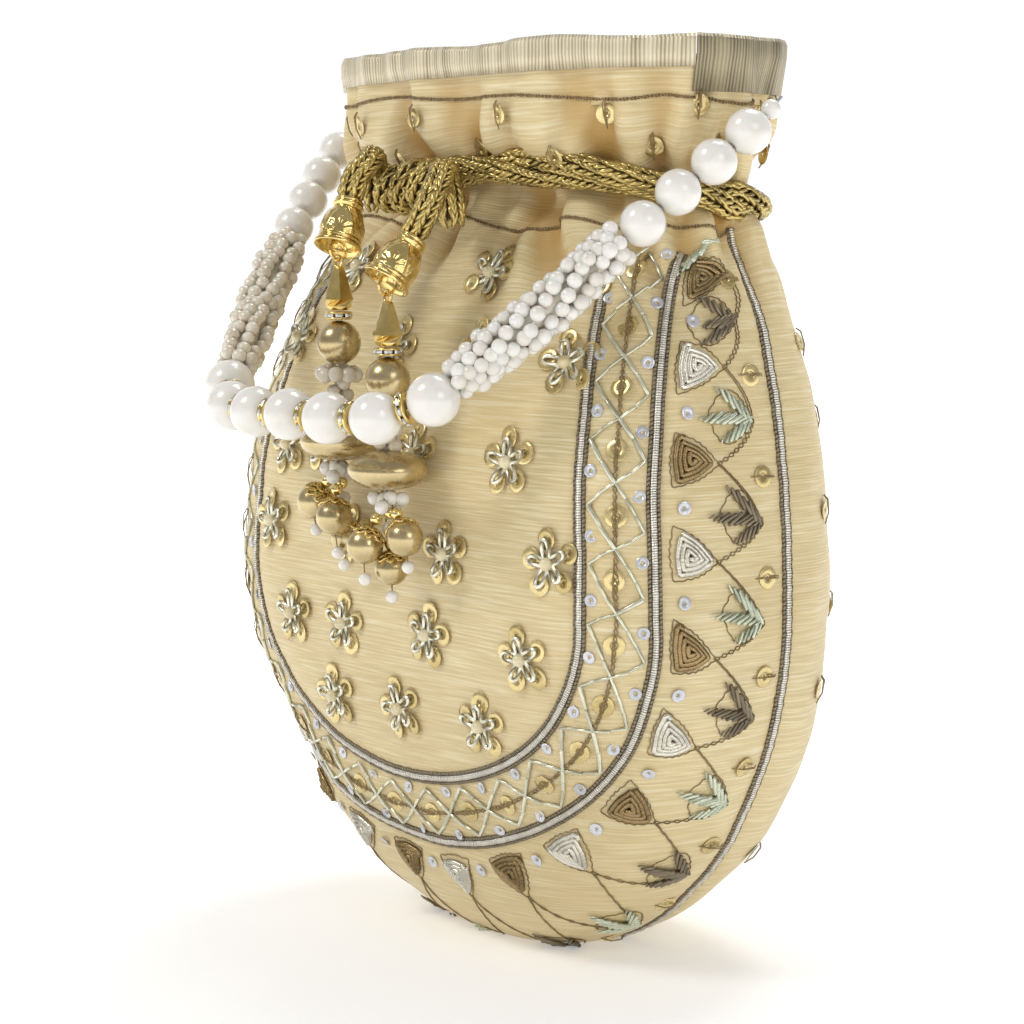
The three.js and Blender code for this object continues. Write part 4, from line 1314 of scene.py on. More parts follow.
@dataclass
class Embroidery:
    """Everything sewn on the front: lattice band, border of leaves and spirals, flowers and sequins."""
    cloth: Cloth
    shop: Workshop
    small: SmallPieces
    lattice: Strip
    border: Strip
    diamond: float = 0.0166
    repeat: float = 0.0255
    tube_length: float = 0.0056
    satin_length: float = 0.0052
    spiral_reach: float = 0.0082
    spiral_row: float = 0.0094
    purl_size: float = 0.00102

    def dress(self, thing: Thing) -> None:
        """Every piece of embroidery rides on the bag."""
        hand_over(thing, "bag")

    def tubes_along(self, points: Points, line: Array, out: Array, piece_length: float) -> None:
        """Lays straight tubes end to end along a line."""
        run = distances(line)
        count = max(1, round(run[-1] / piece_length))
        ends = np.linspace(0, run[-1], count + 1)
        at = np.stack([np.interp(ends, run, line[:, k]) for k in range(3)], 1)
        outs = np.stack([np.interp(ends, run, out[:, k]) for k in range(3)], 1)
        for i in range(count):
            points.add((at[i] + at[i + 1]) / 2, unit(outs[i] + outs[i + 1]), unit(at[i + 1] - at[i]),
                    np.linalg.norm(at[i + 1] - at[i]) / piece_length)

    def stitches(self, lines: list, at: Array, out: Array, way: Array, length: float,
            rng: np.random.Generator) -> None:
        """A sequin's thread: two strands over it that open to a narrow V."""
        side = unit(np.cross(out, way))
        for k in (-1, 1):
            spread = side * rng.uniform(0.0001, 0.0005) * k
            lines.append(np.array([at - way * length / 2, at - way * length * 0.1 + out * 0.0011 + spread
                    * 0.3, at + way * length * 0.35 + out * 0.0010 + spread,
                    at + way * length / 2 + spread * 0.6]))

    def make_lattice(self) -> None:
        """Diamonds of tubes with a sequin in each, a chained thread down the middle, white rings between."""
        strip, rng = self.lattice, np.random.default_rng(3)
        count = int(strip.length // self.diamond)
        start = (strip.length - count * self.diamond) / 2
        tubes, gold, rings, threads = Points(), Points(), Points(), []
        for k in range(count):
            s0 = start + k * self.diamond
            for hand in (-1, 1):
                edge = 0.5 + hand * rng.uniform(0.34, 0.38)
                middle = s0 + self.diamond * rng.uniform(0.44, 0.56)
                for (sa, ta), (sb, tb) in (((s0, 0.5), (middle, edge)),
                        ((middle, edge), (s0 + self.diamond, 0.5))):
                    f = np.linspace(0, 1, 7)
                    bow = 0.02 * hand * np.sin(math.pi * f)
                    line, out, _ = strip.at(sa + (sb - sa) * f, ta + (tb - ta) * f + bow, 0.0002)
                    self.tubes_along(tubes, line, out, self.tube_length)
                p, out, way = strip.at(s0 + rng.normal(0, 0.0006), 0.5 + hand * rng.uniform(0.30, 0.36),
                        0.0001)
                rings.add(p, unit(out + rng.normal(0, 0.12, 3)), way)
            p, out, way = strip.at(s0 + self.diamond / 2, 0.5 + rng.normal(0, 0.015), 0.0002)
            gold.add(p, unit(out + rng.normal(0, 0.10, 3)), way, rng.uniform(0.94, 1.04))
            self.stitches(threads, p, out, way, 0.0105, rng)
        self.dress(self.shop.place("lattice_tubes", tubes, self.small.rod(self.tube_length, 0.0005, "rod"),
                Finish.BUGLE, 0.02))
        sequin = self.small.gold_disc("gold_disc")
        self.dress(self.shop.place("lattice_sequins", gold, sequin, Finish.SEQUIN, 0.05))
        ring = self.small.sequin(0.0017, 0.0005, 0.0004, "white_disc")
        self.dress(self.shop.place("lattice_rings", rings, ring, Finish.WHITE_SEQUIN, 0.08))
        s = np.linspace(start, strip.length - start, int(strip.length / 0.0007))
        chain = []
        for turn in (0, math.pi):
            line, out, way = strip.at(s, 0.5 + 0.026 * np.sin(s * TURN / 0.0036 + turn), 0.0004)
            lift = 0.0007 * np.cos((s - start) / self.diamond * TURN + math.pi).clip(0)
            chain.append(line + out * lift[:, None])
        self.dress(self.shop.spin("lattice_threads", [*threads, *chain], 0.00016, Finish.BROWN_THREAD, 4))

    def place_at(self, s: float, across: float, lift: float = 0.0003) -> tuple[Array, Array, Array]:
        """A point of the border at a distance along it and a distance from the middle piping."""
        return self.border.at(s, across / self.border.width_at(s), lift)

    def curve_at(self, xy: Array, s: float, across: float, lift: float = 0.0003) -> tuple[Array, Array,
            Array]:
        """A drawn line, along and across in metres round an anchor, laid on the border."""
        run = s + xy[:, 0]
        return self.border.at(run, (across + xy[:, 1]) / self.border.width_at(run), lift)

    def spiral(self, points: Points, s: float, hand: int) -> None:
        """A three-cornered spiral of purl that points outwards."""
        turns, steps = 3.7, 200
        f = np.linspace(0, 1, steps)
        angle = hand * (TURN * turns * f) + 3.5
        outline = self.spiral_reach * three_cornered(angle)
        size = 1 - 0.92 * f
        xy = np.stack([outline * np.cos(angle) * size, outline * np.sin(angle) * size * 0.96], 1)
        line, out, _ = self.curve_at(xy, s, self.spiral_row, 0.0002)
        line = line + out * (0.0010 * f**2)[:, None]
        fine = along_line(np.hstack([line, out]), step=0.00070)
        p, outs = fine[:, :3], unit(fine[:, 3:])
        points.add(p, outs, directions(p), self.purl_size)

    def lobe(self, points: Points, root: tuple, tip: tuple, wide: float, slant: float,
            rng: np.random.Generator) -> None:
        """One leaf of slanted satin tubes between a root and a tip, given along and across."""
        root, tip = np.array(root), np.array(tip)
        axis = tip - root
        length = np.linalg.norm(axis)
        axis = axis / length
        side = np.array([-axis[1], axis[0]])
        lean = axis * math.cos(slant) + side * math.sin(slant)
        count = max(5, round(length * abs(math.sin(slant)) / 0.00112))
        for k in range(count):
            f = (k + 0.6) / (count + 0.2)
            half = 0.5 * wide * math.sin(math.pi * min(1, f * 0.86 + 0.14)) ** 0.6 / abs(math.sin(slant))
            middle = root + axis * length * f
            turned = lean + side * rng.normal(0, 0.04)
            ends = np.stack([middle - turned * half, middle + turned * half])
            line, out, _ = self.curve_at(ends, 0.0, 0.0, 0.0006)
            gap = line[1] - line[0]
            reach = float(np.linalg.norm(gap))
            points.add(line.mean(0), unit(out.mean(0)), gap / reach, reach / self.satin_length)

    def leaf(self, kind: Points, s: float, width: float, rng: np.random.Generator,
            lobes: tuple = (0, 1, 2)) -> None:
        """A leaf of three lobes that open from a root near the outer piping."""
        root = width - 0.0115
        back = min(root - 0.0105, 0.0180)
        tips = ((s + 0.0012, root - back, 0.0031, 0.56), (s - 0.0072, root - 0.0128, 0.0027, -0.5),
                (s + 0.0068, root - 0.0100, 0.0028, 0.62))
        for i in lobes:
            along, across, wide, slant = tips[i]
            self.lobe(kind, (s + (0, -0.0006, 0.0010)[i], root), (along, across), wide, slant, rng)

    def make_border(self) -> None:
        """Spirals and leaves in turn round the border, with vines, sequins and their threads."""
        strip, rng = self.border, np.random.default_rng(8)
        count = int((strip.length - 0.012) // self.repeat)
        spirals, leaves = (Points(), Points()), (Points(), Points())
        gold, white, threads, vine = Points(), Points(), [], []
        self.leaf(leaves[1], 0.0022, strip.width_at(0.0022), rng, (0, 2))
        for k in range(count + 1):
            s = 0.0125 + k * self.repeat
            width = strip.width_at(s)
            self.spiral(spirals[k % 2], s, 1 if k % 3 else -1)
            p, out, way = self.place_at(s + 0.001, width - 0.0088, 0.0002)
            gold.add(p, unit(out + rng.normal(0, 0.08, 3)), way)
            beside = self.place_at(s, width - 0.0088)[2]
            self.stitches(threads, p, out, unit(np.cross(out, beside)), 0.0085, rng)
            leaf = s + self.repeat / 2
            if leaf > strip.length - 0.006:
                continue
            width = strip.width_at(leaf)
            root = width - 0.0110
            self.leaf(leaves[k % 2], leaf, width, rng)
            p, out, way = self.place_at(leaf, 0.0078, 0.0002)
            white.add(p, unit(out + rng.normal(0, 0.1, 3)), way)
            f = np.linspace(0, 1, 40)
            tip = self.spiral_row + self.spiral_reach
            for shift in (0.0, 0.0009):
                kink = 0.00022 * np.sin(f * TURN * 9 + shift * 2000)
                for a0, a1, b0, b1 in ((s, leaf, tip, root), (leaf, leaf + self.repeat / 2, root, tip)):
                    bow = 0.0022 * np.sin(math.pi * f) + shift + kink
                    run = np.stack([a0 + (a1 - a0) * f + kink, b0 + (b1 - b0) * f + bow], 1)
                    vine.append(self.curve_at(run, 0.0, 0.0, 0.0002)[0])
            for hand in (-1, 1):
                wrap = np.stack([leaf + hand * 0.0092 * np.sin(math.pi * f) ** 0.8 * (0.5 + 0.5 * f),
                        root + 0.0010 - 0.0150 * f + 0.0003 * np.sin(f * 50)], 1)
                vine.append(self.curve_at(wrap, 0.0, 0.0, 0.0002)[0])
            a = np.linspace(0, TURN, 90)
            ring = 0.0098 * three_cornered(a) + 0.0002 * np.sin(17 * a)
            vine.append(self.curve_at(np.stack([ring * np.cos(a), ring * np.sin(a)], 1), s, self.spiral_row,
                    0.0002)[0])
        coil = self.small.coil("coil")
        for kind, finish in ((0, Finish.BRONZE), (1, Finish.SILVER)):
            self.dress(self.shop.place(f"border_spirals_{finish.name.lower()}", spirals[kind], coil, finish,
                    0.05))
        rod = self.small.rod(self.satin_length, 0.00056, "satin_rod")
        for kind, finish in ((0, Finish.TAUPE_SATIN), (1, Finish.GREEN_SATIN)):
            self.dress(self.shop.place(f"border_leaves_{finish.name.lower()}", leaves[kind], rod, finish,
                    0.05))
        sequin = self.small.gold_disc("gold_disc_2")
        self.dress(self.shop.place("border_sequins", gold, sequin, Finish.SEQUIN, 0.05))
        disc = self.small.sequin(0.0018, 0.0004, 0.0004, "white_disc_2")
        self.dress(self.shop.place("border_rings", white, disc, Finish.WHITE_SEQUIN, 0.1))
        self.dress(self.shop.spin("border_vines", vine, 0.00015, Finish.ZARI, 4))
        self.dress(self.shop.spin("border_threads", threads, 0.00017, Finish.BROWN_THREAD, 4))

    def make_flowers(self) -> None:
        """Rows of small flowers: five sequins, five doubled loops of purl and a pearl."""
        rng = np.random.default_rng(14)
        rows = ((0.191, (-0.046, 0.020, 0.055)), (0.169, (-0.060, -0.010, 0.028)), (0.166, (0.060,)),
                (0.141, (-0.053, -0.035, 0.008, 0.047)), (0.116, (-0.059, -0.018, 0.023, 0.064)),
                (0.091, (-0.048, -0.022, 0.016, 0.055)), (0.070, (-0.028, 0.002, 0.0365)))
        gold, pearls, seats, loops = Points(), Points(), Points(), []
        for z, xs in rows:
            for x in xs:
                base = self.cloth.form.front(np.array(x), np.array(z + rng.normal(0, 0.0008)))
                p, out = self.cloth.lay(base, 0.0003)
                up = unit(UP - out * out[2])
                side = np.cross(up, out)
                turn = rng.uniform(-0.35, 0.35)
                for k in range(5):
                    a = turn + math.pi / 2 + k * TURN / 5
                    ray = side * math.cos(a) + up * math.sin(a)
                    across = np.cross(out, ray)
                    spot, _ = self.cloth.lay(self.cloth.form.front(*(p + ray * 0.0064)[[0, 2]]), 0.0007)
                    gold.add(spot, unit(out + ray * 0.03 + rng.normal(0, 0.06, 3)), ray,
                            rng.uniform(0.95, 1.06))
                    f = np.linspace(0, 1, 13)
                    reach = rng.uniform(0.0047, 0.0058)
                    arc = np.sin(math.pi * f)
                    aside = 0.0014 * np.cos(math.pi * f) * (0.6 + 0.7 * arc)
                    loops.append(p + ray * (0.0012 + reach * arc**0.8)[:, None] + across * aside[:, None]
                            + out * (0.0009 + 0.0007 * arc)[:, None])
                seats.add(p + out * 0.0002, out, up)
                pearls.add(p + out * 0.0015, out, up)
        sequin = self.small.gold_disc("gold_disc_3")
        self.dress(self.shop.place("flower_sequins", gold, sequin, Finish.SEQUIN, 0.08))
        made = Pieces()
        for loop in loops:
            made.sweep(along_line(loop, count=18), 0.00060, sides=6)
        # Its dark colour is painted shade in the purl's grooves.
        purl = TwistFinish((0.72, 0.70, 0.58), (0.20, 0.17, 0.09), 0.0052, 2.0, 0.6, 0.25,
                0.00015).make("silver_purl")
        self.dress(made.build("flower_petals", purl))
        pearl = self.small.bead(0.0019, "flower_bead")
        self.dress(self.shop.place("flower_pearls", pearls, pearl, Finish.YELLOW_PEARL))
        seat = self.small.bead(0.0022, "flower_seat", 10, 0.5)
        self.dress(self.shop.place("flower_seats", seats, seat, Finish.YELLOW_PEARL))

    def make_scatter(self) -> None:
        """Single sequins on the frill and on the plain back, each with its knotted thread."""
        form, rng = self.cloth.form, np.random.default_rng(31)
        gold, threads, spots = Points(), [], []
        for row, z in enumerate((0.2335, 0.2245)):
            for k in range(15):
                height = z + rng.normal(0, 0.0012)
                spots.append((height, TURN * (k + 0.5 * row + rng.normal(0, 0.08)) / 15))
        for row in range(7):
            for k in range(5):
                z = 0.03 + 0.024 * row + rng.normal(0, 0.002)
                step = k + 0.2 + 0.5 * (row % 2) + rng.normal(0, 0.05)
                spots.append((z, 0.28 + (math.pi - 0.56) * step / 4.7))
        for z, a in spots:
            p, out = self.cloth.lay(form.point(np.array(z), np.array(a)), 0.0011 if z > 0.2 else 0.0004)
            up = unit(UP - out * out[2])
            gold.add(p, unit(out + rng.normal(0, 0.06, 3)), up)
            self.stitches(threads, p + out * 0.0001, out, up, 0.0078, rng)
        sequin = self.small.gold_disc("gold_disc_4", 0.0029)
        self.dress(self.shop.place("plain_sequins", gold, sequin, Finish.SEQUIN, 0.1))
        self.dress(self.shop.spin("plain_threads", threads, 0.0002, Finish.BROWN_THREAD, 4))

    def build(self) -> None:
        """All the embroidery."""
        self.make_lattice()
        self.make_border()
        self.make_flowers()
        self.make_scatter()


# ---- Drawcord
@dataclass
class Knit:
    """A knitted round cord: chains of Vs along a near-black core, which paints the shade seen in the gaps."""
    shop: Workshop
    small: SmallPieces
    wales: int = 6
    pitch: float = 0.00215

    def cord(self, line: Array, radius: float, closed: bool = False, twist: float = 0.0,
            seed: int = 1) -> Points:
        """Places of the Vs on a cord along a line."""
        line = along_line(line, step=self.pitch, closed=closed)
        way = directions(line, closed)
        up = carried(way)
        side = np.cross(way, up)
        rng = np.random.default_rng(seed)
        points = Points()
        width = TURN * radius / self.wales
        for k in range(self.wales):
            a = TURN * k / self.wales + twist * np.arange(len(line)) * self.pitch + rng.normal(0, 0.05,
                    len(line))
            out = up * np.cos(a)[:, None] + side * np.sin(a)[:, None]
            shift = way * (self.pitch * (0.5 * (k % 2) + rng.normal(0, 0.06, len(line))))[:, None]
            points.add(line + out * radius * 0.86 + shift, out, way,
                    width * 1.22 * rng.uniform(0.94, 1.08, len(line)))
        return points


@dataclass
class Drawcord:
    """The ring of doubled knitted cord round the neck, its knot and its two tails."""
    cloth: Cloth
    shop: Workshop
    small: SmallPieces
    radius: float = 0.0024
    lift: float = 0.0052
    left: tuple = ((-28, -42.5, 210), (-27, -43.5, 217), (-21, -49, 222), (-16.5, -54.5, 220),
            (-16, -59, 216), (-16.2, -60, 212))
    right: tuple = ((8, -43.5, 205.5), (8.5, -45, 213), (11.5, -49.5, 217.5), (15.5, -54.5, 214),
            (16.8, -59, 208), (14.6, -60.8, 202.5))
    tail_radius: float = 0.0027

    def centre(self, count: int = 400) -> Array:
        """The ring's middle line."""
        angle = around(count)
        z = self.cloth.cord_at(angle)
        base = self.cloth.form.point(z, angle)
        lift = self.lift - 0.0042 * np.abs(np.cos(angle)) ** 3
        p = base + self.cloth.form.normal(base) * lift[:, None] * np.array([1, 1, 0])
        p[:, 2] = z
        return p

    def tails(self) -> None:
        """Both tails, made first of all pieces because they are free cords."""
        knit = Knit(self.shop, self.small)
        piece = self.small.knit("tail_v")
        for side, route in (("left", self.left), ("right", self.right)):
            line = spline(np.array(route) * MM, 60)
            # A near-black core under the Vs: painted shade in the gaps.
            core = Pieces()
            core.sweep(line, self.tail_radius * 0.9, sides=12)
            body = core.build(f"tail_core_{side}", Finish.CORE.material())
            hand_over(body, "bag", f"cord_tail_{side}")
            cover = self.shop.place(f"tail_knit_{side}", knit.cord(line, self.tail_radius, seed=5), piece,
                    Finish.KNIT, 0.1)
            hand_over(cover, "bag")

    def ring(self) -> None:
        """Two strands laid round each other."""
        knit = Knit(self.shop, self.small)
        middle = self.centre()
        way = directions(middle, True)
        up = np.broadcast_to(UP, middle.shape)
        side = unit(np.cross(way, up))
        angle = around(len(middle))
        cores, points = Pieces(), Points()
        for k, start in enumerate((0.0, math.pi)):
            a = start + 3 * angle + 0.5 * np.sin(5 * angle)
            line = middle + up * (0.0021 * np.cos(a))[:, None] + side * (0.0012 * np.sin(a))[:, None]
            # A near-black core under the Vs: painted shade in the gaps.
            cores.sweep(line, self.radius * 0.86, sides=8, closed=True)
            one = knit.cord(line, self.radius, closed=True, twist=60.0, seed=7 + k)
            points.join(one)
        core = cores.build("drawcord_core", Finish.CORE.material())
        cover = self.shop.place("drawcord_knit", points, self.small.knit("ring_v"), Finish.KNIT, 0.12)
        hand_over(core, "bag", "drawcord")
        hand_over(cover, "bag")

    def knot(self) -> None:
        """The knot: the cord wrapped round itself in slanting turns."""
        knit = Knit(self.shop, self.small)
        f = np.linspace(0, 1, 260)
        low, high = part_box("cord_knot")
        x = low.x + 0.001 + (high.x - low.x - 0.002) * f
        swell = np.sin(math.pi * (0.12 + 0.76 * f)) ** 0.5
        a = TURN * 3.2 * f + 0.5
        mid_y, mid_z = (low.y + high.y) / 2, (low.z + high.z) / 2
        line = np.stack([x + 0.004 * np.sin(a), mid_y + 0.0036 * swell * np.cos(a),
                mid_z + 0.0044 * swell * np.sin(a)], 1)
        # A near-black core under the Vs: painted shade in the gaps.
        core = Pieces()
        core.sweep(line, self.radius * 0.86, sides=8)
        body = core.build("knot_core", Finish.CORE.material())
        cover = self.shop.place("knot_knit", knit.cord(line, self.radius, twist=40.0, seed=12),
                self.small.knit("knot_v"), Finish.KNIT, 0.12)
        hand_over(body, "bag", "cord_knot")
        hand_over(cover, "bag")

    def build(self) -> None:
        """Ring and knot; the tails are made before them."""
        self.ring()
        self.knot()


# ---- Handle
@dataclass
class Handle:
    """The loop: pearls up the sides, twisted stretches of small pearls, then large pearls in front."""
    shop: Workshop
    small: SmallPieces
    end_radius: float = 0.0026
    side_radius: float = 0.006
    front_radius: float = 0.007
    seed_radius: float = 0.00205
    seed_pitch: float = 0.0037
    seed_gap: float = 0.0078
    bundle: float = 0.0051
    wires: int = 8

    def middle(self, node: str) -> Array:
        """Centre of a CAD node's box."""
        low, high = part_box(node)
        return np.array((low + high) / 2)

    def chain(self) -> dict[str, Array]:
        """The strand's order from the right attachment to the left one, with each bead's centre."""
        names = ["handle_end_bead_right", *[f"side_pearl_right_{i}" for i in range(1, 5)],
                "seed_strands_right"]
        names += [f"front_pearl_{i}" for i in range(1, 8)]
        names += ["seed_strands_left", *[f"side_pearl_left_{i}" for i in range(4, 0, -1)],
                "handle_end_bead_left"]
        return {name: self.middle(name) for name in names}

    def pearl(self, name: str, at: Array, axis: Array, radius: float, finish: Finish) -> None:
        """One large pearl with its drilled hole, in place of its CAD node."""
        a = np.linspace(0.14, math.pi - 0.14, 29)
        profile = np.stack([radius * np.sin(a), -radius * np.cos(a)], 1)
        ends = np.array([[radius * 0.10, -radius * 0.85]])
        profile = np.vstack([ends, profile, ends * np.array([1, -1])])
        made = Pieces()
        made.lathe(profile[::-1], 48, oriented(at, axis, np.array([1.0, 0.2, 0.1])))
        hand_over(made.build(f"{name}_pearl", finish.material()), "handle", name)

    def strands(self, side: str, low: Array, high: Array, twist: float, finish: Finish, seed: int) -> None:
        """A stretch of small pearls: strands that wind round the wire side by side."""
        way = unit(high - low)
        centre = self.middle(f"seed_strands_{side}")
        half = 0.5 * float(np.linalg.norm(high - low)) - self.seed_gap
        first, last = low + way * self.seed_gap, high - way * self.seed_gap
        bulge = centre - (first + last) / 2
        bulge = bulge - way * (bulge @ way)
        rng = np.random.default_rng(seed)
        rows = round(2 * half / self.seed_pitch)
        points, wires = Points(), []
        side_way = unit(np.cross(way, UP))
        up = np.cross(side_way, way)
        for k in range(self.wires):
            wire = []
            for r in range(rows + 1):
                f = (r + 0.5 * (k % 2)) / (rows + 0.5) + rng.normal(0, 0.008)
                a = TURN * k / self.wires + twist * f + 0.25 * math.sin(9 * f + k) + rng.normal(0, 0.06)
                out = side_way * math.cos(a) + up * math.sin(a)
                p = first + (last - first) * f + bulge * 4 * f * (1 - f) * 0.75
                reach = self.bundle * (0.80 + 0.20 * math.sin(math.pi
                        * min(1, max(0, f))) ** 0.5) + rng.normal(0, 0.00035)
                points.add(p + out * reach, unit(way + rng.normal(0, 0.15, 3)), out, rng.uniform(0.95, 1.06))
                wire.append(p + out * reach)
            wires.append(np.array(wire))
        bead = self.small.bead(self.seed_radius, f"seed_{side}", 14)
        thing = self.shop.place(f"seed_pearls_{side}", points, bead, finish)
        thing.data.shade_smooth()
        thread = self.shop.spin(f"seed_threads_{side}", wires, 0.0003, Finish.CREAM_PEARL, 4)
        core = Pieces()
        f = np.linspace(0, 1, 12)[:, None]
        core.sweep(first + (last - first) * f + bulge * (3 * f * (1 - f)), 0.0032, 10)
        inner = core.build(f"seed_core_{side}", Finish.CREAM_PEARL.material())
        hand_over(thing, "handle", f"seed_strands_{side}")
        hand_over(thread, "handle")
        hand_over(inner, "handle")

    def build(self) -> None:
        """The whole loop."""
        at = self.chain()
        names, places = list(at), np.array(list(at.values()))
        way = directions(places)
        for i, name in enumerate(names):
            if name.startswith("seed"):
                continue
            small = self.end_radius if "end_bead" in name else self.side_radius
            radius = self.front_radius if name.startswith("front") else small
            self.pearl(name, places[i], way[i], radius, Finish.PEARL)
        self.strands("right", at["side_pearl_right_4"], at["front_pearl_1"], 2.6, Finish.PEARL, 41)
        self.strands("left", at["side_pearl_left_4"], at["front_pearl_7"], -2.2, Finish.CREAM_PEARL, 42)
        for i in range(1, 7):
            a, b = at[f"front_pearl_{i}"], at[f"front_pearl_{i + 1}"]
            Rondelle(0.0046, 0.0011).build(f"rondelle_{i}_ring", (a + b) / 2, b - a, "handle",
                    f"rondelle_{i}")


@dataclass(frozen=True)
class Rondelle:
    """A spacer: two metal rims with square stones set between them."""
    radius: float
    half: float
    stones: int = 9

    @staticmethod
    def square(a0: float, a1: float, z: float, reach: float) -> list:
        """Four corners of a stone's outline between two angles, at a distance from the axis."""
        return [[reach * math.cos(a), reach * math.sin(a), height] for a,
                height in ((a0, -z), (a1, -z), (a1, z), (a0, z))]

    def build(self, name: str, at: Array, axis: Array, body: str, node: str) -> None:
        """Makes the rims and the stones."""
        place = oriented(at, axis, np.array([0.3, 0.2, 1.0]))
        r, h = self.radius, self.half
        rims = Pieces()
        rims.lathe(np.array([[0.0009, h], [r * 0.86, h], [r * 0.97, h * 0.8], [r * 0.95, h * 0.45],
                [r * 0.74, h * 0.4], [r * 0.74, -h * 0.4], [r * 0.95, -h * 0.45], [r * 0.97, -h * 0.8],
                [r * 0.86, -h], [0.0009, -h]]), 36, place)
        metal = rims.build(name, Finish.GOLD.material())
        stones = Pieces()
        for k in range(self.stones):
            a0, a1 = TURN * (k + 0.14) / self.stones, TURN * (k + 0.86) / self.stones
            d0, d1 = a0 + 0.22 * (a1 - a0), a1 - 0.22 * (a1 - a0)
            middle = (d0 + d1) / 2
            p = np.array([self.square(a0, a1, h * 0.5, r * 0.9), self.square(d0, d1, h * 0.28, r * 1.0),
                    self.square(middle, middle, 0, r * 1.001)])
            stones.grid(apply_place(place, p), np.zeros((3, 5, 2)), wrap_columns=True)
        glass = stones.build(name + "_stones", Finish.STONE.material(), smooth=False)
        hand_over(metal, body, node)
        hand_over(glass, body)


